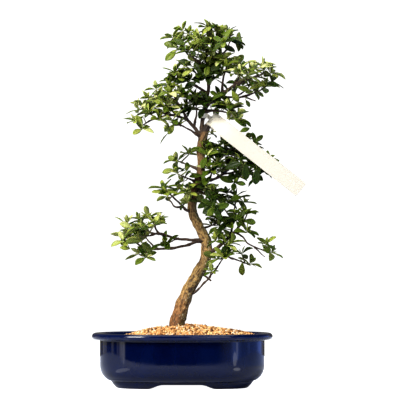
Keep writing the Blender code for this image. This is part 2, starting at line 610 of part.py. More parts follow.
def build_band(group):
    """The band: a short open tube made thick, level round the leader."""
    bm = bmesh.new()
    bmesh.ops.create_cone(
        bm, cap_ends=False, segments=16, radius1=BAND_RADIUS * MM, radius2=BAND_RADIUS * MM,
        depth=BAND_HEIGHT * MM, matrix=Matrix.Translation(Vector(BAND_CENTRE) * MM),
    )
    band = add_object("band", mesh_from_bmesh("band", bm), group)
    thick = band.modifiers.new("thickness", "SOLIDIFY")
    thick.thickness = LABEL_THICKNESS * MM
    thick.offset = 0.0
    mesh = evaluated_mesh(band)
    band.modifiers.remove(thick)
    band.data = mesh
    return band


def tree_of(places, faces):
    """A search tree of a body's faces, with the middle and reach of its box."""
    low = Vector([min(p[i] for p in places) for i in range(3)])
    high = Vector([max(p[i] for p in places) for i in range(3)])
    return BVHTree.FromPolygons(places, faces), (low + high) / 2, (high - low).length / 2


def tree_of_object(obj):
    places = [v.co / MM for v in obj.data.vertices]
    return tree_of(places, [tuple(p.vertices) for p in obj.data.polygons])


def meets(first, others):
    """Whether a body's faces cross those of any other body."""
    tree, middle, reach = first
    for other, place, size in others:
        if (place - middle).length <= reach + size and tree.overlap(other):
            return True
    return False


def shoot_route(seat, direction, whorl, first_of_spray):
    """A green shoot from its seat to a whorl, and the direction in which it grows there."""
    end = Vector(whorl)
    bend = seat + direction * min(BEND_REACH, (end - seat).length * BEND_SHARE)
    growth = ((end - bend).normalized() * GROWTH_AHEAD + UP * GROWTH_UP).normalized()
    hub = ((*(end - growth * HUB_HEIGHT), HUB_RADIUS), (*end, HUB_RADIUS))
    if first_of_spray:
        start = seat + direction * GAP
        return ((*start, SHOOT_RADIUS), (*bend, SHOOT_RADIUS), *hub), growth
    return ((*(seat + direction * FORK_DEPTH), FORK_RADIUS), *hub), growth


def shoot_rings(key, route, growth, sides):
    """The corners of a shoot's rings, without twist, and the two axes across its end."""
    places = [Vector(row[:3]) for row in route]
    headings = [places[1] - places[0], growth, growth]
    if len(places) > 3:
        headings.insert(1, places[2] - places[0])
    start = random.Random(key).uniform(0.0, 2 * math.pi)
    side = Vector((math.cos(start), math.sin(start), 0.21))
    rings = []
    for place, heading, row in zip(places, headings, route):
        heading = heading.normalized()
        side = (side - heading * side.dot(heading)).normalized()
        other = heading.cross(side)
        angles = [2 * math.pi * i / sides for i in range(sides)]
        rings.append([place + (side * math.cos(a) + other * math.sin(a)) * row[3] for a in angles])
    return rings, side, other


def shoot_tree(rings):
    """The search tree of a bare shoot."""
    places = [place for ring in rings for place in ring]
    sides = len(rings[0])
    faces = []
    for lower in range(0, len(places) - sides, sides):
        for i in range(sides):
            j = (i + 1) % sides
            faces.append((lower + i, lower + j, lower + sides + j, lower + sides + i))
    return tree_of(places, faces)


def blade_points(base, direction, growth, length, swell=0.0):
    """The rim of a blade from its left shoulder round to its right, and its rib's two faces."""
    width = length * LEAF_SLENDERNESS / 2
    normal = (growth - direction * growth.dot(direction)).normalized()
    across = growth.cross(direction).normalized()

    def place(share, out, rise):
        lift = rise + LEAF_FOLD * abs(out) / width - LEAF_DROOP * length * share ** 2
        return base + direction * share * (length + swell) + across * out + normal * lift

    shoulder = SHOULDER_WIDTH * width + swell
    rim = [place(LEAF_SHOULDER, -shoulder, 0.0), place(LEAF_BELLY, -width - swell, 0.0),
           place(1.0, 0.0, 0.0),
           place(LEAF_BELLY, width + swell, 0.0), place(LEAF_SHOULDER, shoulder, 0.0)]
    half = LEAF_THICKNESS / 2 + swell
    return rim, place(0.5, 0.0, half), place(0.5, 0.0, -half)


def blade_faces():
    """Corner numbers of a blade's triangles: four corners on the hub, five on the rim, two on the rib."""
    upper = [3, 4, 5, 6, 7, 8, 2]
    lower = [0, 4, 5, 6, 7, 8, 1]
    faces = [(4, 3, 0), (8, 2, 1)]
    for rib, edge in ((9, upper), (10, lower)):
        faces += [(i, j, rib) for i, j in zip(edge, edge[1:] + edge[:1])]
    return faces


def blade_skin(root, direction, blade):
    """The search tree of a blade as it will stand, with its root a hair off its neighbours'."""
    middle = sum(root, Vector()) / 4
    inner = [middle + (corner - middle) * ROOT_SHRINK + direction * ROOT_LIFT for corner in root]
    rim, top, under = blade
    return tree_of([*inner, *rim, top, under], blade_faces())


def folds_over(skin):
    """Whether a blade's own faces cross away from a shared corner."""
    faces = blade_faces()
    return any(not set(faces[a]) & set(faces[b]) for a, b in skin[0].overlap(skin[0]))


def blade_guard(base, direction, growth, length):
    """The search trees of a swollen blade: the whole of it, and its part away from the hub."""
    rim, top, under = blade_points(base, direction, growth, length, CLEARANCE)
    across = growth.cross(direction).normalized() * ROOT_GUARD
    rise = growth * ROOT_GUARD
    corners = [base - across - rise, base + across - rise, base + across + rise,
               base - across + rise]
    root = base + direction * FREE_SHARE * length
    whole = tree_of([*corners, *rim, top, under], [(0, 1, 2, 3), *blade_faces()])
    loop = [0, 1, 2, 3, 4, 5]
    faces = [(i, j, hub) for hub in (6, 7) for i, j in zip(loop, loop[1:] + loop[:1])]
    return whole, tree_of([root, *rim, top, under], faces)


def blade_tries(draw, azimuth, number):
    """Azimuth, tilt and size of a blade, first as drawn and then in small steps away from it."""
    azimuth += draw.uniform(-LEAF_SPREAD, LEAF_SPREAD)
    tilt = draw.uniform(*(LOW_TILT if number % 2 == 0 else HIGH_TILT))
    length = draw.uniform(*LEAF_LENGTH)
    for attempt in range(LEAF_TRIES):
        swing = (attempt + 1) // 2 * (SWING_STEP if attempt % 2 else -SWING_STEP)
        rise = TILT_STEP * (attempt // 2) * (1 if attempt % 4 < 2 else -1)
        yield azimuth + swing, tilt - rise, length * (1.0 - SHRINK_STEP * attempt)


def fit_whorl(key, rings, side, other, growth, solids, own):
    """The blades of a whorl, one on each side of its hub, or None where none stands clear."""
    sides = len(rings[0])
    draw = random.Random(key)
    blades = []
    placed = []
    skins = [shoot_tree(rings[:-1])]
    for i in range(sides):
        j = (i + 1) % sides
        root = [rings[-2][i], rings[-2][j], rings[-1][j], rings[-1][i]]
        base = sum(root, Vector()) / 4
        blades.append(None)
        for tried, (azimuth, tilt, length) in enumerate(
                blade_tries(draw, 2 * math.pi * (i + 0.5) / sides, i)):
            around = side * math.cos(azimuth) + other * math.sin(azimuth)
            tilt = math.radians(tilt)
            direction = growth * math.cos(tilt) + around * math.sin(tilt)
            whole, free = blade_guard(base, direction, growth, length)
            near = placed + (own if tried < LEAF_TRIES - 4 else [])
            blade = blade_points(base, direction, growth, length)
            skin = blade_skin(root, direction, blade)
            if meets(skin, skins) or folds_over(skin):
                continue
            if not meets(whole, solids) and not meets(free, near):
                blades[i] = blade
                placed.append(whole)
                skins.append(skin)
                break
    return blades, placed


def skin_shoot(name, rings, blades, group):
    """A shoot with its blades as one closed mesh: rings, hub, blades and both ends."""
    bm = bmesh.new()
    loops = [[bm.verts.new(place * MM) for place in ring] for ring in rings]
    sides = len(rings[0])
    for lower, upper in zip(loops, loops[1:]):
        for i in range(sides):
            j = (i + 1) % sides
            if upper is loops[-1] and blades[i]:
                grow_blade(bm, (lower[i], lower[j], upper[j], upper[i]), blades[i])
            else:
                bm.faces.new((lower[i], lower[j], upper[j], upper[i]))
    bm.faces.new(loops[0])
    bm.faces.new(loops[-1])
    bmesh.ops.triangulate(bm, faces=bm.faces)
    return add_object(name, mesh_from_bmesh(name, bm), group)


def grow_blade(bm, root, blade):
    """A blade lofted from the four corners of its place on the hub to its rim and rib."""
    rim, top, under = blade
    corners = [*root, *(bm.verts.new(place * MM) for place in (*rim, top, under))]
    for face in blade_faces():
        bm.faces.new([corners[i] for i in face])


def build_sprays(group, solids):
    """Every leafy shoot, each fused in one node and clear of all the others."""
    shoots = []
    for number, spray in enumerate(SPRAYS):
        seat, direction, _ = spray_seat(*spray)
        for part, whorl in enumerate(spray[2]):
            key = f"whorl {number} {part}"
            sides = NEXT_WHORL_LEAVES if part else FIRST_WHORL_LEAVES
            route, growth = shoot_route(seat, direction, whorl, part == 0)
            shoots.append((number, key, growth, *shoot_rings(key, route, growth, sides)))
    trees = [[] for _ in SPRAYS]
    for number, _, _, rings, _, _ in shoots:
        trees[number].append(shoot_tree(rings))
    for number, own in enumerate(trees):
        others = [tree for i, bodies in enumerate(trees) if i != number for tree in bodies]
        if any(meets(tree, solids + others) for tree in own):
            print("shoot crosses another body:", number, SPRAYS[number])
    bodies = [[] for _ in SPRAYS]
    count = 0
    for number, key, growth, rings, side, other in shoots:
        others = solids + [tree for i, own in enumerate(trees) if i != number for tree in own]
        blades, guards = fit_whorl(key, rings, side, other, growth, others, trees[number][1:])
        trees[number] += guards
        count += len(guards)
        bodies[number].append(skin_shoot(key, rings, blades, group))
    print("leaves", count, "whorls", len(shoots))
    for number, own in enumerate(bodies):
        own[0].name = f"spray_{number + 1:02d}"
        if own[1:]:
            boolean(own[0], own[1:], "UNION")
        own[0].data.name = own[0].name
    return [own[0] for own in bodies]


def finish(obj, slot):
    """Give a body its material, and smooth shading on its round faces."""
    obj.data.materials.clear()
    obj.data.materials.append(material(slot))
    obj.data.shade_smooth()
    obj.data.set_sharp_from_angle(angle=math.radians(40))


def centre_on_box(bodies):
    """Shift all the bodies so that the origin is the middle of the bottom of their box."""
    corners = [obj.matrix_world @ v.co for obj in bodies for v in obj.data.vertices]
    low = [min(c[i] for c in corners) for i in range(3)]
    high = [max(c[i] for c in corners) for i in range(3)]
    shift = Vector((-(low[0] + high[0]) / 2, -(low[1] + high[1]) / 2, -low[2]))
    for obj in bodies:
        obj.location = shift
    print("shift of the origin, mm:", [round(value / MM, 3) for value in shift])


def main():
    clear_scene()
    bonsai = new_collection("satsuki_azalea_bonsai")
    cutters = new_collection("cutters")
    pot = build_pot(bonsai, cutters)
    soil = build_soil(bonsai, cutters)
    trunk = build_trunk(bonsai)
    label = build_label(bonsai)
    solids = [tree_of_object(body) for body in (pot, soil, trunk, label)]
    sprays = build_sprays(bonsai, solids)
    finish(pot, "glaze")
    finish(soil, "grains")
    finish(trunk, "bark")
    finish(label, "strip")
    for spray in sprays:
        finish(spray, "foliage")
    centre_on_box([pot, soil, trunk, label, *sprays])
    for obj in bonsai.objects:
        print(obj.name, "triangles", sum(len(p.vertices) - 2 for p in obj.data.polygons))


main()
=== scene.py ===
"""Looks of a small azalea bonsai in a blue glazed oval pot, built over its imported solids.

All tables are in millimetres from the pot's centre on the ground, with X to the right, Y to the
back and Z up, as in the part's source. Meshes are in metres, in the shared frame.
"""

import math
import random

import bpy
import numpy as np
from bpy.props import FloatProperty, FloatVectorProperty, IntProperty, PointerProperty
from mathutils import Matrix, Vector


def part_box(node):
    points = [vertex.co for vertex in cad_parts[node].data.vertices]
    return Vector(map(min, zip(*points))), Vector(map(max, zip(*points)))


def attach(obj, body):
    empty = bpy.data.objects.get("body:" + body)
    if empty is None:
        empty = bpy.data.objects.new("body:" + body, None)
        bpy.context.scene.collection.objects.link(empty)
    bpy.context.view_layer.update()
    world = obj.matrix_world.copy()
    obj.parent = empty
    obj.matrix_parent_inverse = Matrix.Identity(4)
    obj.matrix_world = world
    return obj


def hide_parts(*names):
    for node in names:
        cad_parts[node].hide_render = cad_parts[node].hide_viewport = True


bl_info = {
    "name": "Azalea Bonsai",
    "version": (1, 0, 0),
    "blender": (4, 5, 0),
    "location": "3D View > Sidebar > Bonsai",
    "description": "Builds a leafy azalea bonsai in a glazed oval pot",
    "category": "Add Mesh",
}

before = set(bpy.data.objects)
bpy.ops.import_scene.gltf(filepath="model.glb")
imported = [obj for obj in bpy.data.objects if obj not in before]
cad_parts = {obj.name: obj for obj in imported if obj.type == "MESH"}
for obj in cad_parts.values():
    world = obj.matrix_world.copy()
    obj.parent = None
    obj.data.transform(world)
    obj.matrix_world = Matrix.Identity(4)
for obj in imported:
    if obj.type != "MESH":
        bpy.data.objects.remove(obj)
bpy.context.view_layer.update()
POT_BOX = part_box("pot")
MM = 0.001
SHIFT = np.array([(POT_BOX[0].x + POT_BOX[1].x) / 2, (POT_BOX[0].y + POT_BOX[1].y) / 2, 0.0])

# Pot: half axes of the body's outline, and how square the oval is above and at the ground
POT_HALF_X = 102.5
POT_HALF_Y = 76.0
POT_POWER = 2.5
FOOT_POWER = 3.4
POT_FLOOR = 12.0
POT_SIDES = 176
POT_PITCH = 1.1
UNDERSIDE = 5.4
FRONT_ARCH_HALF = 43.0
FRONT_ARCH_SLOPE = 20.0
SIDE_ARCH_HALF = 16.0
SIDE_ARCH_SLOPE = 10.0
DRAIN_X = 42.0
DRAIN_RADIUS = 9.0
DRAIN_TOP = 20.0
DRAIN_SIDES = 40
BARE_FROM = -21.2

# Sections of the pot, each an offset from the body's outline and a height
POT_INSIDE = (
    (-34.0, 12.0), (-24.0, 12.0), (-18.0, 12.2), (-13.0, 14.0), (-9.0, 18.4), (-7.0, 25.0),
    (-6.3, 34.0), (-6.1, 48.0), (-6.0, 59.2), (-5.6, 63.2), (-4.4, 65.8), (-2.2, 67.0),
    (1.0, 67.3), (4.6, 67.3),
)
BEAD_CENTRE = (6.2, 63.4)
BEAD_RADIUS = 3.8
LIP_UNDER = 59.5
LIP_FILLET = 0.7
BELLY_CENTRE = (-16.0, 28.0)
BELLY_REACH = (16.0, 19.7)
POT_FOOT = (
    (-13.8, 8.4), (-14.5, 7.2), (-16.2, 5.0), (-18.8, 2.4), (-20.6, 0.7), (-22.2, 0.0),
    (-26.0, 0.0), (-30.4, 0.0), (-31.4, 0.8), (-32.2, 4.2), (-34.0, 5.4), (-40.0, 5.4),
)

# Soil: a mound a little right of the middle, lower at its ends
SOIL_EDGE = 62.6
SOIL_RISE = 15.6
SOIL_PEAK_X = 6.0
SOIL_SPREAD = 105.0
SOIL_BLUNT = 9.0
SOIL_SQUASH = 0.72
LEFT_DIP = 4.2
RIGHT_DIP = 2.4
SOIL_WALL = -6.4
BED_RINGS = 26
BED_DROP = 1.5
GRAIN_SIDES = 8
GRAIN_REACH = (105, 90)
GRAIN_SHAKE = 0.9
GRAIN_FROM_WALL = 1.3
TRUNK_FOOT_X = -6.7
TRUNK_FOOT_RADIUS = 8.6

# Wood: the knot on the trunk's front, and the collars where it swells: height, reach and swelling
KNOT = (9.6, -3.0, 120.6)
COLLARS = ((146.0, 5.0, 0.9), (106.0, 4.0, 0.8))
RIDGE_HEIGHT = 0.85
LUMP_HEIGHT = 0.95
PLATE_HEIGHT = 0.50
ROOT_HEIGHT = 1.7
ROOT_TOP = 69.0

# Heights in metres between which the bark changes as it goes up or down the trunk
UPPER_BARK = (0.215, 0.245)
RED_BARK = (0.132, 0.088)
FOOT_BARK = (0.096, 0.074)
FLECKED_BARK = (0.22, 0.17)
CUT_TOP = (0.3195, 0.3225)

# Shoots and leaves, as in the solids
UP = np.array([0.0, 0.0, 1.0])
SPUR_SHARE = 0.45
BEND_REACH = 5.0
BEND_SHARE = 0.35
GROWTH_AHEAD = 0.6
GROWTH_UP = 0.7
HUB_HEIGHT = 1.5
FIRST_WHORL_LEAVES = 5
NEXT_WHORL_LEAVES = 4
LEAF_LENGTH = (19.0, 25.0)
LOW_TILT = (74.0, 92.0)
HIGH_TILT = (46.0, 66.0)
LEAF_SPREAD = 0.22
LEAF_SHRINK = 0.87
SIDE_SHARE = 0.6
YOUNG_LENGTH = (7.0, 13.0)
SIDE_LENGTH = (14.0, 20.0)
SINGLE_LENGTH = (15.0, 22.0)
LEAF_HALF_SHARE = (0.38, 0.52)
LEAF_CURL = (0.05, 0.75)
YOUNG_CURL = (-0.3, 0.4)
LONE_CURL = (0.1, 0.5)
LEAF_TWIST = (-0.35, 0.35)
LEAF_FOLD = (0.18, 0.58)
LEAF_SHAPE = (1.0, 1.4)
OLD_TONE = 0.7
OLD_LENGTH = (16.0, 22.0)
FRESH_LENGTH = (13.0, 18.0)

# Shoots whose large leaves are shorter, counted from 0: the share that is left of their length
SMALL_SPRAYS = {
    0: 0.84, 1: 0.88, 8: 0.90, 13: 0.82, 14: 0.88, 15: 0.82, 16: 0.68, 17: 0.62, 20: 0.78,
    22: 0.80, 23: 0.85, 26: 0.72, 27: 0.78, 28: 0.86, 30: 0.86, 34: 0.92, 35: 0.86, 36: 0.86,
    37: 0.86, 38: 0.86, 39: 0.88, 40: 0.86, 42: 0.75, 52: 0.70, 53: 0.70,
}

# A leaf's row of numbers: where each of them stands
BASE = slice(0, 3)
AHEAD = slice(3, 6)
NORMAL = slice(6, 9)
LENGTH = 9
WIDTH = 10
AGE = 16
TINT = 17

# A leaf's rings: places along it, places across it, and the face that each of these is on
LEAF_STOPS = np.array([0.07, 0.20, 0.38, 0.57, 0.76, 0.91])
LEAF_ACROSS = np.array([1.0, 0.5, 0.0, -0.5, -1.0, -0.5, 0.0, 0.5])
LEAF_FACES = np.array([0.0, 1.0, 1.0, 1.0, 0.0, -1.0, -1.0, -1.0])
LEAF_HALF_THICKNESS = 0.22

# Parts of the tree: the sprays that each group of leaves stands for, counted from 1
LEAF_GROUPS = {
    "leaves_low_left": (1, 8),
    "leaves_low_right": (9, 18),
    "leaves_middle": (19, 25),
    "leaves_mid_right": (26, 34),
    "leaves_up_left": (35, 43),
    "leaves_right": (44, 50),
    "leaves_top": (51, 56),
}

# Label: a strip with a narrow neck, and a band that goes round the leader
LABEL_START = (34.8, 4.2, 336.0)
LABEL_END = (147.0, -34.0, 244.4)
LABEL_HALF = 10.0
LABEL_HALF_THICKNESS = 0.4
LABEL_NECK = 2.4
LABEL_NECK_LENGTH = 5.8
LABEL_CORNER = 1.5
LABEL_START_HIDDEN = 4.0
LABEL_MARGIN = 2.0
LABEL_BEHIND = 6.0
BAND_CENTRE = (26.0, 1.8, 338.8)
BAND_RADIUS = 5.4
BAND_HALF_HEIGHT = 3.0
BAND_SIDES = 64
BAND_STEPS = 20

# Camera and light
CAMERA_PLACE = (0.002, -2.5, 0.144)
CAMERA_TARGET = (0.002, 0.0, 0.2331)

# Floor: an oval whose middle lies a little behind the pot
FLOOR_HALF_X = 1.18
FLOOR_HALF_Y = 0.81
FLOOR_MIDDLE = 0.10
FLOOR_SIDES = 72

# Soft bands in the surroundings: direction and reach in degrees from the front, and strength
WINDOW_BANDS = (
    (-69.0, 13.0, 0.9), (-92.0, 6.0, 0.5), (-128.0, 14.0, 0.6),
    (54.0, 12.0, 1.0), (84.0, 6.0, 0.4), (125.0, 15.0, 0.7),
)

# Low bright cards round the pot: direction, distance, height, width, tallness and brightness
CARDS = (
    (-66.0, 0.62, 0.022, 0.050, 0.034, 1.0), (-85.0, 0.108, 0.017, 0.032, 0.011, 1.1),
    (53.0, 0.60, 0.012, 0.070, 0.022, 1.6), (57.0, 0.66, 0.026, 0.050, 0.040, 0.9),
    (70.0, 0.094, 0.010, 0.022, 0.020, 1.9), (-71.0, 0.58, 0.030, 0.016, 0.040, 0.7),
)

# The cards stand round a place this far in front of the pot's middle
CARD_AHEAD = 0.06

# Softboxes: place, target, size, share of the key light, colour, and whether the glaze mirrors them
LIGHTS = {
    "key": ((-1.3, -1.5, 1.35), (0.0, 0.0, 0.2), (0.8, 0.8), 1.0, (1.0, 0.975, 0.92), True),
    "fill": ((1.0, -1.9, 1.25), (0.0, 0.0, 0.2), (1.0, 1.0), 0.13, (1.0, 1.0, 1.0), True),
    "front": ((0.35, -2.3, 0.75), (0.0, 0.0, 0.3), (0.5, 0.5), 0.05, (1.0, 1.0, 1.0), True),
    "rim": ((0.7, 1.8, 1.3), (0.0, 0.0, 0.25), (1.2, 1.0), 0.20, (1.0, 1.0, 1.0), False),
    "top": ((0.0, 0.1, 1.7), (0.0, 0.0, 0.2), (1.2, 0.9), 0.24, (1.0, 1.0, 1.0), True),
}

# Colours that have no setting of their own
WHITE = (1.0, 1.0, 1.0)
GLAZE_PIT = (0.004, 0.006, 0.03)
CLAY_DARK = (0.20, 0.11, 0.065)
CLAY_PALE = (0.36, 0.22, 0.14)
GRAIN_DARK = (0.08, 0.026, 0.008)
GRAIN_BRIGHT = (1.0, 0.70, 0.34)
GRAIN_CHALK = (0.86, 0.72, 0.52)
GRAIN_DUST = (0.18, 0.08, 0.03)
# The bed under the grains: dark fines, painted darker still as the shade in the gaps between grains
FINES_AND_SHADE_DARK = (0.020, 0.008, 0.003)
FINES_AND_SHADE_PALE = (0.12, 0.05, 0.018)
TWIG_DARK = (0.014, 0.007, 0.004)
BARK_OCHRE = (0.26, 0.16, 0.058)
BARK_RED = (0.30, 0.120, 0.038)
BARK_FOOT = (0.13, 0.050, 0.018)
BARK_GAP = (0.065, 0.030, 0.010)
BARK_SEAM = (0.050, 0.024, 0.010)
BARK_FLECK = (0.60, 0.55, 0.37)
# Painted shade in the knot's hollow
KNOT_HOLLOW_SHADE = (0.030, 0.016, 0.008)
CUT_WOOD = (0.022, 0.012, 0.007)
SHOOT_DARK = (0.05, 0.06, 0.012)
SHOOT_WOODY = (0.07, 0.035, 0.018)
LEAF_RUSTY = (0.20, 0.22, 0.03)
VEIN_GAIN = (2.2, 2.0, 2.2)
# The strip beyond its start, darker than the start, which is painted lighter against the leaves' shadow
STRIP_BEYOND = (0.47, 0.445, 0.39)
STRIP_SMEAR = (0.70, 0.64, 0.52)
FLOOR_LEFT = (0.50, 0.54, 0.64)
FLOOR_RIGHT = (0.42, 0.54, 1.0)
SKY_LEFT = (1.0, 0.97, 0.90)
SKY_RIGHT = (0.24, 0.37, 1.0)

# Trunk: x, y, z and radius
TRUNK = (
    (-7.5, 0.0, 45.3, 8.8), (-6.9, 0.0, 68.0, 9.6), (-5.6, 0.0, 83.0, 8.8), (-1.6, 1.0, 95.6, 8.3),
    (2.5, 2.0, 108.1, 7.7), (7.1, 4.0, 120.0, 7.5), (14.4, 6.0, 133.0, 7.0), (22.0, 8.0, 145.6, 6.8),
    (27.6, 9.0, 155.5, 6.5), (30.3, 10.0, 168.0, 6.6), (29.6, 10.0, 181.9, 6.6),
    (21.5, 7.0, 199.4, 6.0), (14.0, 2.0, 215.0, 5.6), (12.8, -2.0, 233.1, 5.4),
    (17.6, -6.0, 250.6, 5.4), (22.8, -7.0, 267.0, 5.1), (23.6, -7.0, 281.0, 5.0),
    (22.8, -6.0, 297.0, 5.0), (25.2, -5.0, 308.1, 5.2),
)

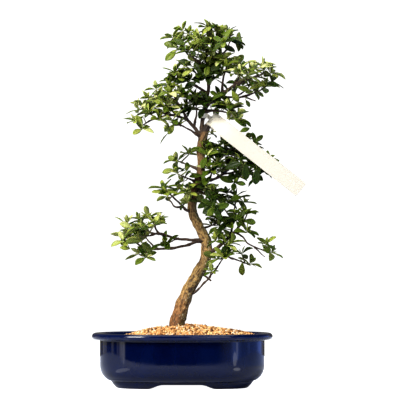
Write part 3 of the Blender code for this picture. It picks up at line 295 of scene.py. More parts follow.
# Branches: each starts inside the wood that carries it
BRANCHES = {
    "stub": ((25.2, -5.0, 306.0, 4.9), (28.4, -4.6, 316.0, 4.7), (32.0, -4.2, 326.0, 4.3)),
    "leader": (
        (25.0, -4.6, 306.0, 4.4), (24.2, -1.0, 320.0, 4.0), (24.8, 1.0, 332.0, 3.6),
        (27.8, 3.0, 348.0, 3.4), (32.1, 5.0, 368.0, 3.1), (32.6, 4.0, 384.0, 2.7),
        (30.9, 2.0, 398.0, 2.3), (29.8, 0.0, 410.0, 2.0), (31.2, -2.0, 426.0, 1.6),
        (32.4, -3.0, 438.0, 1.2),
    ),
    "cut_twig": ((23.0, 8.0, 142.0, 2.0), (29.5, 6.5, 137.0, 1.6), (36.0, 5.0, 132.0, 1.3)),
    "low_left_front": (
        (26.0, 8.0, 183.0, 3.0), (9.1, 3.0, 183.4, 2.4), (-6.6, -3.0, 185.0, 2.3),
        (-17.4, -8.0, 187.9, 2.2), (-29.6, -13.0, 191.0, 2.1), (-38.0, -17.0, 188.6, 1.7),
        (-45.0, -20.0, 187.6, 1.4),
    ),
    "low_left_front_up": ((-29.0, -13.0, 190.6, 1.7), (-32.5, -15.0, 196.0, 1.5),
                          (-34.0, -18.0, 200.5, 1.2)),
    "low_left_mid_up": ((-36.0, -16.0, 189.2, 1.6), (-41.0, -10.0, 193.5, 1.4),
                        (-44.5, -4.0, 197.0, 1.2)),
    "low_left_front_side": ((-24.0, -11.0, 189.6, 1.7), (-30.0, -23.0, 190.0, 1.5),
                            (-37.0, -34.0, 191.5, 1.2)),
    "low_left_back": (
        (26.0, 10.0, 182.0, 3.0), (16.4, 12.0, 180.8, 2.5), (5.6, 15.0, 176.8, 2.3),
        (-8.8, 18.0, 173.6, 2.2), (-23.1, 20.0, 172.1, 2.1), (-35.4, 20.0, 172.0, 2.0),
        (-46.0, 19.0, 173.0, 1.9), (-53.3, 19.0, 176.4, 1.7), (-62.0, 19.0, 183.6, 1.5),
        (-66.5, 18.0, 191.0, 1.2),
    ),
    "low_left_back_side": ((-31.0, 20.0, 172.0, 1.7), (-39.0, 29.0, 178.0, 1.5),
                           (-46.0, 37.0, 186.0, 1.2)),
    "low_right": (
        (29.5, 10.0, 165.0, 4.2), (43.0, 5.0, 172.5, 3.3), (53.0, -1.0, 182.0, 2.9),
        (61.8, -5.0, 189.0, 2.6), (66.2, -7.0, 195.0, 2.2), (73.0, -8.0, 202.0, 1.6),
    ),
    "low_right_up": ((60.5, -4.2, 188.0, 2.0), (62.5, 4.0, 202.0, 1.8), (64.6, 10.0, 217.0, 1.6),
                     (66.2, 12.0, 228.0, 1.2)),
    "low_right_far": ((65.0, -6.6, 193.4, 1.9), (74.6, -10.0, 187.4, 1.5),
                      (81.9, -12.0, 179.0, 1.4), (92.0, -10.0, 173.4, 1.3),
                      (99.0, -8.0, 171.0, 1.1)),
    "low_right_bare": ((90.0, -10.4, 174.2, 1.2), (97.0, -9.0, 167.0, 1.0),
                       (103.0, -8.0, 162.0, 0.8)),
    "low_right_low": ((42.0, 5.4, 171.8, 2.1), (54.6, 10.0, 164.6, 1.7), (63.1, 14.0, 160.0, 1.5),
                      (74.5, 18.0, 156.0, 1.2)),
    "low_right_thin": ((22.5, 7.4, 197.0, 2.0), (35.9, 12.0, 201.0, 1.5), (41.5, 17.0, 204.5, 1.2)),
    "low_shoot": ((3.5, 2.4, 111.0, 2.0), (15.0, 2.0, 117.6, 1.7), (24.6, 0.0, 126.4, 1.6),
                  (33.0, -4.0, 135.0, 1.5), (41.4, -8.0, 146.0, 1.4), (50.0, -12.0, 159.0, 1.1)),
    "mid_left": ((13.4, 0.6, 219.0, 2.6), (4.6, -4.0, 220.6, 2.1), (-1.4, -7.0, 226.4, 1.9),
                 (-10.0, -12.0, 235.0, 1.6), (-17.0, -15.0, 241.0, 1.2)),
    "mid_left_back": ((0.5, -5.6, 224.4, 1.8), (-8.5, 0.0, 224.4, 1.5), (-14.0, 6.0, 231.0, 1.2)),
    "mid_left_high": ((18.6, -6.2, 255.0, 2.2), (11.0, -13.0, 258.0, 1.7), (2.5, -19.0, 261.0, 1.3)),
    "mid_left_top": ((22.8, -7.0, 269.0, 2.1), (11.4, -4.0, 275.0, 1.7), (2.5, 1.0, 279.0, 1.3)),
    "mid_front": ((13.2, -3.0, 236.0, 2.2), (11.5, -13.0, 238.0, 1.7), (8.5, -22.0, 238.5, 1.3)),
    "mid_front_right": ((16.0, -5.0, 246.0, 2.3), (26.0, -13.0, 242.0, 1.7),
                        (33.0, -20.0, 239.0, 1.3)),
    "mid_back": ((13.0, -1.6, 230.0, 2.4), (15.5, 13.0, 236.0, 1.8), (20.0, 26.0, 241.0, 1.3)),
    "mid_right": (
        (18.4, -6.0, 252.6, 3.0), (31.6, -2.0, 257.4, 2.6), (40.3, 2.0, 259.6, 2.4),
        (47.4, 5.0, 263.4, 2.2), (54.6, 8.0, 266.3, 2.0), (66.0, 10.0, 268.0, 1.8),
        (76.0, 10.0, 268.0, 1.6), (86.0, 9.0, 270.4, 1.4), (94.0, 7.0, 272.6, 1.1),
    ),
    "mid_right_back": ((45.0, 4.0, 262.2, 1.9), (51.0, 20.0, 267.6, 1.6), (57.0, 34.0, 271.6, 1.2)),
    "mid_right_up": ((23.4, -6.8, 281.0, 2.6), (33.0, 4.0, 286.4, 2.1), (43.4, 12.0, 291.6, 1.9),
                     (54.6, 17.0, 292.8, 1.7), (67.0, 18.0, 289.6, 1.5), (79.0, 17.0, 285.6, 1.4),
                     (92.0, 14.0, 282.8, 1.1)),
    "mid_right_top": ((52.0, 16.2, 292.6, 1.7), (64.0, 15.0, 297.4, 1.4), (76.0, 12.0, 298.6, 1.1)),
    "up_left": (
        (24.4, -4.0, 309.0, 4.0), (20.4, -3.0, 316.0, 3.4), (15.4, -2.0, 323.4, 3.1),
        (10.0, 0.0, 330.0, 2.8), (4.0, 2.0, 334.6, 2.5), (-7.9, 4.0, 338.8, 2.3),
        (-19.4, 6.0, 341.6, 2.1), (-33.0, 5.0, 345.0, 1.8), (-45.4, 2.0, 347.0, 1.2),
    ),
    "up_left_low": ((-15.0, 5.2, 340.6, 2.0), (-26.0, 0.0, 337.2, 1.7), (-37.0, -6.0, 333.8, 1.5),
                    (-44.3, -10.0, 329.4, 1.4), (-50.0, -12.0, 325.4, 1.1)),
    "up_left_thin": ((22.6, -4.4, 312.0, 2.2), (10.0, -12.0, 319.8, 1.6), (-0.9, -17.0, 325.2, 1.4),
                     (-7.0, -19.0, 325.4, 1.1)),
    "up_left_rise": ((6.0, 1.4, 333.2, 2.3), (0.0, -5.0, 345.0, 1.8), (-7.0, -10.0, 356.0, 1.6),
                     (-12.0, -13.0, 365.0, 1.2)),
    "up_left_back": ((-5.0, 3.6, 338.0, 2.1), (-14.0, 17.0, 347.0, 1.7), (-24.0, 28.0, 355.0, 1.2)),
    "up_left_crown": ((-16.0, 5.6, 340.8, 2.0), (-26.0, 9.0, 353.0, 1.6), (-31.0, 11.0, 363.0, 1.2)),
    "up_stem": ((14.6, -1.8, 324.6, 1.9), (17.4, -6.0, 337.0, 1.5), (17.4, -9.0, 350.0, 1.2)),
    "under": ((27.0, 2.4, 344.0, 2.6), (39.6, -4.0, 344.6, 2.0), (51.0, -8.0, 343.0, 1.6),
              (58.0, -10.0, 341.0, 1.2)),
    "right": (
        (27.8, 3.0, 349.0, 3.3), (39.6, 3.0, 360.6, 2.9), (52.6, 1.0, 369.0, 2.6),
        (62.1, -2.0, 373.6, 2.3), (75.9, -5.0, 381.0, 1.9), (88.0, -6.0, 386.4, 1.6),
        (97.0, -6.0, 389.4, 1.2),
    ),
    "right_up": ((50.0, 1.4, 367.2, 2.2), (50.6, -4.0, 382.0, 1.7), (54.0, -8.0, 394.0, 1.2)),
    "right_mid": ((64.0, -2.4, 374.6, 1.9), (69.6, 5.0, 385.0, 1.6), (73.0, 11.0, 393.0, 1.2)),
    "right_front": ((58.0, -0.6, 371.6, 1.9), (65.0, -15.0, 376.4, 1.5), (72.0, -27.0, 380.0, 1.2)),
    "right_low": ((42.0, 3.0, 362.0, 2.4), (56.0, 10.0, 363.0, 2.0), (71.8, 14.0, 363.4, 1.8),
                  (82.6, 16.0, 366.0, 1.6), (93.0, 16.0, 370.0, 1.2)),
    "right_bare": ((78.0, 15.2, 364.8, 1.3), (86.0, 13.0, 360.4, 1.1), (92.0, 12.0, 358.4, 0.9)),
    "right_back": ((66.0, 12.6, 363.4, 1.8), (73.0, 26.0, 368.0, 1.5), (79.0, 36.0, 373.0, 1.2)),
    "top_left": ((32.0, 5.0, 366.0, 2.7), (20.0, 3.0, 374.6, 2.1), (6.0, -1.0, 382.0, 1.7),
                 (-3.0, -4.0, 387.0, 1.2)),
    "top_left_mid": ((31.6, 3.0, 392.0, 2.4), (17.0, 6.0, 407.0, 1.8), (6.0, 10.0, 418.0, 1.5),
                     (0.5, 12.0, 426.0, 1.2)),
    "top_left_front": ((31.2, 2.4, 396.0, 2.2), (22.0, -11.0, 405.0, 1.6), (13.0, -21.0, 410.0, 1.2)),
    "top_right": ((29.8, 0.2, 407.0, 2.1), (44.6, -4.0, 412.6, 1.7), (55.0, -6.0, 420.6, 1.5),
                  (59.0, -8.0, 430.0, 1.2)),
    "top_back": ((30.6, 1.4, 401.0, 2.2), (33.0, 15.0, 407.0, 1.6), (35.0, 28.0, 414.0, 1.2)),
}

# Leafy shoots: the branch, how far along it the shoot leaves, and the centre of each whorl.
# A shoot at 1.0 grows on from the branch's tip; the others stand on a woody spur.
SPRAYS = (
    ("low_left_back", 1.00, ((-70, 15, 204), (-75, 25, 189), (-73, 6, 182))),
    ("low_left_back", 0.70, ((-55, 26, 166), (-46, 12, 162))),
    ("low_left_mid_up", 1.00, ((-54, 2, 209), (-55, 6, 195))),
    ("low_left_front_up", 1.00, ((-42, -12, 211), (-31, -21, 208))),
    ("low_left_front", 1.00, ((-57, -24, 192), (-51, -14, 181))),
    ("low_left_front", 0.42, ((-21, -14, 178),)),
    ("low_left_back_side", 1.00, ((-58, 42, 193), (-44, 46, 199))),
    ("low_left_front_side", 1.00, ((-49, -40, 198), (-34, -44, 202))),
    ("low_right_up", 1.00, ((67, 14, 238), (56, 22, 242))),
    ("low_right_up", 0.50, ((49, 0, 227),)),
    ("low_right", 1.00, ((76, -14, 214), (64, -18, 211), (81, 6, 216))),
    ("low_right", 0.78, ((80, -26, 193),)),
    ("low_right_thin", 1.00, ((43, 22, 211), (50, 26, 199))),
    ("low_right", 0.45, ((42, -16, 182), (56, -22, 176))),
    ("low_right_far", 1.00, ((111, -4, 168), (104, -18, 178))),
    ("low_right_low", 1.00, ((85, 23, 154), (75, 26, 166))),
    ("low_shoot", 1.00, ((56, -15, 166), (46, -16, 160))),
    ("low_shoot", 0.60, ((36, -22, 144),)),
    ("mid_left", 1.00, ((-23, -16, 247),)),
    ("mid_left_back", 1.00, ((-19, 16, 239), (-6, 12, 246))),
    ("mid_left_high", 1.00, ((-6, -22, 266), (5, -31, 268))),
    ("mid_left_top", 1.00, ((-6, 4, 283), (8, 3, 291))),
    ("mid_front", 1.00, ((6, -29, 242), (5, -26, 229))),
    ("mid_front_right", 1.00, ((39, -24, 243), (35, -26, 231))),
    ("mid_back", 1.00, ((24, 34, 248), (38, 30, 240))),
    ("mid_right", 0.22, ((34, -17, 271), (43, -12, 279))),
    ("mid_right", 0.62, ((64, 0, 276), (70, -4, 263))),
    ("mid_right", 1.00, ((103, 2, 271), (93, -2, 262))),
    ("mid_right_back", 1.00, ((60, 41, 278), (47, 38, 274))),
    ("mid_right_up", 0.22, ((34, -8, 299), (31, -15, 288))),
    ("mid_right_up", 0.60, ((64, 30, 299), (70, 34, 288))),
    ("mid_right_up", 1.00, ((105, 10, 284), (96, 22, 289))),
    ("mid_right_top", 1.00, ((86, 8, 301), (82, 20, 308))),
    ("mid_right_top", 0.30, ((52, 4, 304),)),
    ("up_left", 1.00, ((-56, 0, 347), (-50, 12, 352))),
    ("up_left_low", 1.00, ((-58, -15, 331), (-50, -20, 321))),
    ("up_left_low", 0.50, ((-42, -16, 342), (-29, -17, 333))),
    ("up_left_crown", 1.00, ((-33, 15, 374), (-42, 10, 362))),
    ("up_left", 0.72, ((-30, -9, 355), (-19, -15, 350))),
    ("up_left_back", 1.00, ((-31, 38, 362), (-18, 38, 363))),
    ("up_left_rise", 1.00, ((-16, -17, 375), (-25, -16, 365), (-5, -18, 366))),
    ("up_left_thin", 1.00, ((-13, -24, 331), (-15, -20, 319))),
    ("up_stem", 1.00, ((17, -14, 361), (7, -13, 351))),
    ("under", 1.00, ((69, -14, 333), (56, -16, 350), (58, -6, 334))),
    ("right_up", 1.00, ((53, -11, 407), (64, -12, 402))),
    ("right_mid", 1.00, ((71, 17, 403), (84, 14, 398))),
    ("right", 1.00, ((101, -8, 400), (110, -4, 392), (92, -14, 396))),
    ("right_front", 1.00, ((82, -34, 386), (68, -34, 389))),
    ("right_low", 1.00, ((103, 19, 377), (112, 10, 382))),
    ("right_back", 1.00, ((86, 43, 382), (72, 44, 381))),
    ("top_left", 1.00, ((-9, -8, 393), (-6, 2, 379))),
    ("leader", 1.00, ((33, -4, 450), (22, -9, 436), (42, 6, 438))),
    ("top_right", 1.00, ((56, -11, 442), (68, -2, 433), (58, -22, 434))),
    ("top_left_mid", 1.00, ((-2, 15, 438), (7, 8, 443), (-6, 4, 423))),
    ("top_left_front", 1.00, ((8, -28, 417), (20, -30, 426))),
    ("top_back", 1.00, ((36, 37, 422), (48, 32, 416))),
)

# Character of each leafy shoot: how dark and old its leaves are, and how full it is
CHARACTER = (
    (0.15, 0.1), (0.42, 0.2), (0.52, 0.2), (0.30, 0.2), (0.58, 0.3), (0.68, 0.3), (0.62, 0.4),
    (0.34, 0.2), (0.80, 1.0), (0.95, 0.6), (0.75, 0.7), (0.60, 0.2), (0.75, 0.6), (0.55, 0.6),
    (0.45, 0.2), (0.50, 0.2), (0.55, 0.3), (0.62, 0.2), (0.45, 0.4), (0.55, 0.5), (0.55, 0.4),
    (0.50, 0.4), (0.38, 0.4), (0.85, 0.4), (0.85, 1.0), (0.40, 1.2), (0.76, 1.8), (0.85, 0.5),
    (0.78, 1.2), (0.58, 1.8), (0.72, 1.2), (0.74, 1.0), (0.60, 0.7), (0.62, 1.2), (0.10, 0.2),
    (0.10, 0.2), (0.45, 0.4), (0.35, 0.5), (0.20, 0.5), (0.65, 0.7), (0.40, 0.5), (0.50, 0.3),
    (0.80, 1.2), (0.40, 0.8), (0.22, 0.9), (0.40, 0.9), (0.18, 0.7), (0.20, 0.6), (0.48, 0.8),
    (0.52, 0.9), (0.40, 1.6), (0.32, 2.0), (0.62, 1.3), (0.45, 1.3), (0.55, 1.8), (0.75, 1.6),
)

# Smaller whorls on twiglets of their own, round the bare wood: place, and how dark they are
MORE_WHORLS = {
    "leaves_low_left": (),
    "leaves_low_right": (
        (46, -6, 200, 0.80), (56, -8, 203, 0.85), (57, 4, 229, 0.95),
    ),
    "leaves_middle": (
        (2, -14, 256, 0.60), (10, -16, 247, 0.75), (30, -15, 252, 0.45), (26, -14, 229, 0.80),
        (27, -14, 262, 0.85), (36, 6, 316, 0.70),
    ),
    "leaves_mid_right": (
        (86, -2, 284, 0.95), (92, 0, 276, 0.90), (42, -14, 318, 0.75), (36, -14, 268, 0.60),
        (40, 4, 282, 0.75), (52, 2, 288, 0.80), (34, -4, 293, 0.50), (46, 8, 300, 0.85),
        (58, 8, 281, 0.65),
    ),
    "leaves_up_left": (
        (16, 12, 361, 0.95), (25, 14, 357, 0.90), (-3, 2, 364, 0.35), (14, 8, 349, 0.90),
        (-3, -14, 325, 0.50), (4, 12, 346, 0.90), (-8, -8, 352, 0.55), (-14, -10, 344, 0.50),
        (-20, -2, 350, 0.35),
    ),
    "leaves_right": (
        (47, -4, 362, 0.60), (53, -6, 352, 0.60), (49, -4, 389, 0.80), (56, -8, 398, 0.45),
        (62, -6, 396, 0.40), (51, -10, 407, 0.30), (38, 8, 355, 0.85), (72, -6, 388, 0.35),
        (34, -9, 354, 0.80), (50, -6, 348, 0.80), (58, -6, 344, 0.85), (47, 8, 349, 0.15),
    ),
    "leaves_top": (
        (34, -6, 430, 0.70), (24, -9, 421, 0.35), (38, -10, 413, 0.40), (13, -8, 407, 0.40),
        (4, -8, 400, 0.35), (33, -10, 401, 0.60), (31, -9, 389, 0.95), (10, -6, 383, 0.90),
        (20, -9, 389, 0.85), (24, 6, 398, 0.80), (42, 2, 396, 0.85), (40, 8, 386, 0.90),
        (42, 8, 408, 0.70), (30, 10, 412, 0.80), (28, -10, 431, 0.25), (24, -10, 408, 0.60),
        (44, -10, 422, 0.55),
    ),
}

# Leaves that stand out one by one: middle, direction in degrees as seen from the front, length, age
LONE_LEAVES = {
    "leaves_low_left": (
        (-53, -20, 192, 200, 16, 0.95), (-30, -18, 207, 10, 19, 0.35), (-70, -12, 201, 160, 17, 0.15),
        (-72, 2, 173, 170, 13, 0.35), (-21, -16, 178, 195, 14, 0.70),
    ),
    "leaves_low_right": (
        (35, -34, 221, 205, 23, 1.1), (63, -12, 209, 252, 19, 1.0), (75, 12, 147, 268, 18, 0.50),
        (66, -10, 235, 20, 16, 0.80), (50, -8, 231, 60, 15, 0.85), (84, -12, 206, -8, 16, 0.60),
        (56, 6, 176, 240, 16, 0.45), (104, -12, 172, -50, 15, 0.60),
    ),
    "leaves_middle": (
        (-12, -8, 284, 150, 15, 0.50), (-18, -6, 269, 192, 16, 0.40), (33, -22, 247, 25, 17, 0.15),
        (7, -26, 236, 250, 19, 0.15),
    ),
    "leaves_mid_right": (
        (63, -20, 275, 192, 24, 1.15), (79, -20, 268, 274, 21, 1.15), (92, -18, 262, 266, 21, 1.15),
        (100, -6, 272, -25, 16, 0.90), (108, -4, 267, -20, 15, 0.90),
        (96, 2, 310, 50, 15, 0.85), (78, 4, 321, 20, 14, 0.60),
    ),
    "leaves_up_left": (
        (16, 8, 361, 200, 19, 1.0), (24, 10, 359, -20, 18, 1.0), (3, -6, 345, 190, 18, 0.95),
        (-29, -18, 354, 150, 16, 0.45), (-56, -16, 334, 190, 15, 0.10), (-14, -22, 320, 240, 15, 0.40),
    ),
    "leaves_right": (
        (112, -6, 378, -12, 16, 0.95), (82, 6, 355, 300, 11, 0.80), (73, -14, 330, -25, 21, 0.55),
        (42, 10, 344, 262, 15, 0.15), (24, -8, 341, 240, 16, 0.95),
        (47, -10, 363, 200, 18, 0.95), (66, -12, 362, -60, 17, 0.55), (98, -12, 376, 5, 15, 0.30),
        (76, -8, 372, -15, 16, 0.50),
    ),
    "leaves_top": (
        (66, -12, 432, -15, 20, 1.0), (59, -14, 421, -22, 16, 1.0), (-15, -4, 413, 218, 17, 0.50),
        (31, -16, 389, 190, 21, 1.0), (3, -10, 405, 172, 17, 0.95), (19, -14, 398, 120, 17, 0.95),
        (40, -14, 397, 20, 19, 0.95), (10, -12, 376, 205, 18, 1.0), (22, -18, 428, 100, 16, 0.35),
        (48, -14, 425, 40, 17, 0.70), (-4, 4, 432, 150, 17, 0.80),
    ),
}


class Nodes:
    """A node tree while it is put together. Inputs take a socket or a plain value."""

    def __init__(self, tree):
        self.tree = tree

    def feed(self, socket, value):
        if isinstance(value, bpy.types.NodeSocket):
            self.tree.links.new(value, socket)
        elif isinstance(value, tuple) and len(value) == 3 and socket.type == "RGBA":
            socket.default_value = (*value, 1.0)
        else:
            socket.default_value = value

    def add(self, kind, feeds, **settings):
        node = self.tree.nodes.new("ShaderNode" + kind)
        for name, value in settings.items():
            setattr(node, name, value)
        for socket, value in feeds.items():
            self.feed(node.inputs[socket], value)
        return node

    def places(self, scale=(1.0, 1.0, 1.0)):
        """Object coordinates, stretched."""
        return self.stretch(self.add("TexCoord", {}).outputs["Object"], scale)

    def stretch(self, vector, scale):
        return self.add("Mapping", {"Vector": vector, "Scale": scale}).outputs[0]

    def attribute(self, name, output="Fac"):
        return self.add("Attribute", {}, attribute_name=name).outputs[output]

    def noise(self, vector, scale, detail=3.0, roughness=0.55):
        feeds = {"Vector": vector, "Scale": scale, "Detail": detail, "Roughness": roughness}
        return self.add("TexNoise", feeds).outputs["Fac"]

    def cells(self, vector, scale):
        return self.add("TexVoronoi", {"Vector": vector, "Scale": scale}).outputs["Distance"]

    def math(self, operation, first, second=0.0):
        return self.add("Math", {0: first, 1: second}, operation=operation).outputs[0]

    def times(self, first, second):
        return self.math("MULTIPLY", first, second)

    def plus(self, first, second):
        return self.math("ADD", first, second)

    def minus(self, first, second):
        return self.math("SUBTRACT", first, second)

    def axes(self, vector):
        """The three parts of a vector."""
        return self.add("SeparateXYZ", {0: vector}).outputs

    def fade(self, value, low, high, start=0.0, end=1.0):
        """A value carried smoothly from one range to another, and held at its ends."""
        feeds = {"Value": value, "From Min": low, "From Max": high, "To Min": start, "To Max": end}
        return self.add("MapRange", feeds, interpolation_type="SMOOTHSTEP").outputs[0]

    def ramp(self, value, *stops):
        """A colour ramp through stops, each a place and a colour."""
        node = self.add("ValToRGB", {"Fac": value})
        elements = node.color_ramp.elements
        for element, (place, colour) in ((elements[0], stops[0]), (elements[1], stops[-1])):
            element.position = place
            element.color = (*colour, 1.0)
        for place, colour in stops[1:-1]:
            elements.new(place).color = (*colour, 1.0)
        return node.outputs["Color"]

    def mix(self, share, first, second, how="MIX"):
        feeds = {0: share, 6: first, 7: second}
        return self.add("Mix", feeds, data_type="RGBA", blend_type=how).outputs[2]

    def bump(self, height, distance, strength=1.0):
        feeds = {"Height": height, "Distance": distance, "Strength": strength}
        return self.add("Bump", feeds).outputs["Normal"]


class Recipe(Nodes):
    """A material while it is put together."""

    def __init__(self, name):
        self.material = bpy.data.materials.new(name)
        self.material.use_nodes = True
        super().__init__(self.material.node_tree)
        self.shader = self.tree.nodes["Principled BSDF"]

    def finish(self, feeds):
        """Feeds the shader, and gives the finished material."""
        for socket, value in feeds.items():
            self.feed(self.shader.inputs[socket], value)
        return self.material


class Heap:
    """Closed surfaces gathered for one piece: points, corners of faces, and values at the points."""

    def __init__(self):
        self.points = []
        self.quads = [np.zeros((0, 4), int)]
        self.triangles = [np.zeros((0, 3), int)]
        self.values = {}
        self.count = 0

    def add(self, points, quads, triangles, **values):
        points = np.asarray(points, float).reshape(-1, 3)
        self.points.append(points)
        self.quads.append(quads + self.count)
        self.triangles.append(triangles + self.count)
        for name, value in values.items():
            value = np.asarray(value, float)
            if value.ndim == 0:
                value = np.full(len(points), float(value))
            self.values.setdefault(name, []).append(value.reshape(len(points), -1))
        self.count += len(points)

    def mesh(self, name):
        """The gathered surfaces as one mesh, with a UV map from the values called uv."""
        quads, triangles = np.vstack(self.quads), np.vstack(self.triangles)
        corners = np.concatenate([quads.ravel(), triangles.ravel()]).astype(np.int32)
        starts = np.concatenate([np.arange(len(quads)) * 4,
                                 quads.size + np.arange(len(triangles)) * 3]).astype(np.int32)
        mesh = bpy.data.meshes.new(name)
        mesh.vertices.add(self.count)
        places = np.vstack(self.points) * MM + SHIFT
        mesh.vertices.foreach_set("co", places.astype(np.float32).ravel())
        mesh.loops.add(len(corners))
        mesh.loops.foreach_set("vertex_index", corners)
        mesh.polygons.add(len(starts))
        mesh.polygons.foreach_set("loop_start", starts)
        mesh.update(calc_edges=True)
        mesh.validate()
        for value_name, parts in self.values.items():
            store_values(mesh, value_name, np.vstack(parts).astype(np.float32), corners)
        return mesh


def store_values(mesh, name, values, corners):
    """Values at the points become an attribute, and pairs of values become a UV map."""
    width = values.shape[1]
    if width == 2:
        layer = mesh.uv_layers.new(name=name)
        layer.data.foreach_set("uv", values[corners].ravel())
        return
    kind, field = ("FLOAT", "value") if width == 1 else ("FLOAT_VECTOR", "vector")
    mesh.attributes.new(name, kind, "POINT").data.foreach_set(field, values.ravel())


def make_piece(name, heap, material, nodes, sharp=None):
    """One finished piece: smooth faces, its material, its body and the nodes that it stands for."""
    mesh = heap.mesh(name)
    mesh.materials.append(material)
    mesh.shade_smooth()
    if sharp:
        mesh.set_sharp_from_angle(angle=math.radians(sharp))
    piece = bpy.data.objects.new(name, mesh)
    bpy.context.scene.collection.objects.link(piece)
    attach(piece, "root")
    if nodes:
        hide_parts(*nodes)
    return piece


def unit(vectors):
    """Vectors, each divided by its length."""
    vectors = np.asarray(vectors, float)
    return vectors / np.linalg.norm(vectors, axis=-1, keepdims=True)


def ease(values, low, high):
    """0 below a range, 1 above it and 3t²-2t³ across it."""
    t = np.clip((np.asarray(values, float) - low) / (high - low), 0.0, 1.0)
    return t * t * (3.0 - 2.0 * t)


def lattice(cells, seed):
    """A number from 0 to 1 for each cell of a lattice, mixed from its whole coordinates."""
    mixed = cells[..., 0] * 374761393 + cells[..., 1] * 668265263 + cells[..., 2] * 982451653
    mixed = (mixed + seed * 1274126177) * 1103515245
    mixed = (mixed ^ (mixed >> 15)) * 2246822519
    return ((mixed ^ (mixed >> 13)) & 0xFFFFF) / 0xFFFFF


def bumps(places, seed=0):
    """Smooth noise from -1 to 1: the lattice's numbers blended by 3t²-2t³ along each axis."""
    places = np.asarray(places, float)
    cell = np.floor(places).astype(np.int64)
    t = places - cell
    t = t * t * (3.0 - 2.0 * t)
    total = np.zeros(places.shape[:-1])
    for corner in range(8):
        step = np.array([corner & 1, corner >> 1 & 1, corner >> 2 & 1])
        total += np.prod(np.where(step == 1, t, 1.0 - t), axis=-1) * lattice(cell + step, seed)
    return 2.0 * total - 1.0


def reach_along(places):
    """The length of a route up to each of its places."""
    steps = np.linalg.norm(np.diff(places, axis=0), axis=1)
    return np.concatenate([[0.0], np.cumsum(steps)])


def ring_angles(count):
    """Even angles round a full turn."""
    return np.arange(count) * (2 * math.pi / count)


def even_route(rows, pitch):
    """Rows at an even pitch along the Catmull-Rom curve through a route's rows."""
    rows = np.asarray(rows, float)
    rows = np.vstack([2 * rows[0] - rows[1], rows, 2 * rows[-1] - rows[-2]])
    rows[[0, -1], 3:] = rows[[1, -2], 3:]
    t = np.linspace(0.0, 1.0, 16, endpoint=False)[:, None]
    before, start, end, after = rows[:-3, None], rows[1:-2, None], rows[2:-1, None], rows[3:, None]
    dense = 0.5 * (2 * start + (end - before) * t + (2 * before - 5 * start + 4 * end - after) * t ** 2
                   + (3 * start - before - 3 * end + after) * t ** 3)
    dense = np.vstack([dense.reshape(-1, rows.shape[1]), rows[-2]])
    reach = reach_along(dense[:, :3])
    stops = np.linspace(0.0, reach[-1], max(3, int(reach[-1] / pitch) + 2))
    return np.stack([np.interp(stops, reach, column) for column in dense.T], axis=1)


def tube_faces(rings, sides):
    """Quads between rings and fans at both ends, for rings followed by the two end points."""
    ring = np.arange(sides)
    after = (ring + 1) % sides
    row = np.arange(rings - 1)[:, None] * sides
    quads = np.stack([row + ring, row + after, row + sides + after, row + sides + ring], axis=-1)
    first = np.full(sides, rings * sides)
    top = (rings - 1) * sides
    triangles = np.vstack([np.stack([first, after, ring], axis=-1),
                           np.stack([top + ring, top + after, first + 1], axis=-1)])
    return quads.reshape(-1, 4), triangles


def repeat_faces(faces, items, points):
    """The same faces for many items whose points follow each other."""
    return (faces + np.arange(items)[:, None, None] * points).reshape(-1, faces.shape[1])


def axes_along(places):
    """Tangents of a route, and two axes across it turned from the world axis least along it."""
    tangent = unit(np.gradient(places, axis=0))
    axis = np.eye(3)[np.argmin(np.abs(tangent).max(axis=0))]
    side = unit(axis - tangent * (tangent @ axis)[:, None])
    return tangent, side, np.cross(tangent, side)


def add_limb(heap, route, sides, relief=None, tip=0.6, **values):
    """A tube: place(t) + r(t, a)·(A(t)·cos a + B(t)·sin a), closed by a point at both ends.

    The relief is a function of the reach along it, the angle and the place, and adds to r. The
    value wood holds r·cos a, r·sin a and the reach, in metres, for a grain that follows the limb,
    and the value facing tells how far a point looks to the right.
    """
    places, radius = route[:, :3], route[:, 3:4]
    tangent, side, other = axes_along(places)
    angle = ring_angles(sides)
    spoke = side[:, None] * np.cos(angle)[:, None] + other[:, None] * np.sin(angle)[:, None]
    reach = reach_along(places)[:, None] + 0.0 * angle
    thick = radius + 0.0 * angle
    if relief:
        thick = thick + relief(reach, angle + 0.0 * reach, places[:, None] + spoke * radius[..., None])
    grid = places[:, None] + spoke * thick[..., None]
    ends = np.stack([places[0], places[-1] + tangent[-1] * radius[-1] * tip])
    wood = np.stack([thick * np.cos(angle), thick * np.sin(angle), reach], axis=-1).reshape(-1, 3)
    wood = np.vstack([wood, [0.0, 0.0, 0.0], [0.0, 0.0, reach[-1, 0] + 1.0]])
    quads, triangles = tube_faces(len(places), sides)
    heap.add(np.vstack([grid.reshape(-1, 3), ends]), quads, triangles, wood=wood * MM,
             facing=np.append(spoke[..., 0].ravel(), [0.0, 0.0]), **values)


def pot_outline(angle, offset, height=POT_FLOOR):
    """The oval: x = a·sgn(cos)·|cos|^(2/p) and y = b·sgn(sin)·|sin|^(2/p), both half axes grown.

    The power p grows from the pot's floor to the ground.
    """
    share = np.clip(1.0 - height / POT_FLOOR, 0.0, 1.0)
    power = 2.0 / (POT_POWER + (FOOT_POWER - POT_POWER) * share)
    c, s = np.cos(angle), np.sin(angle)
    return np.stack([(POT_HALF_X + offset) * np.sign(c) * np.abs(c) ** power,
                     (POT_HALF_Y + offset) * np.sign(s) * np.abs(s) ** power], axis=-1)


def even_angles(count):
    """Angles that divide the oval's outline into parts of the same length."""
    dense = np.linspace(0.0, 2 * math.pi, 4097)
    reach = reach_along(pot_outline(dense, 0.0))
    return np.interp(np.arange(count) * reach[-1] / count, reach, dense)


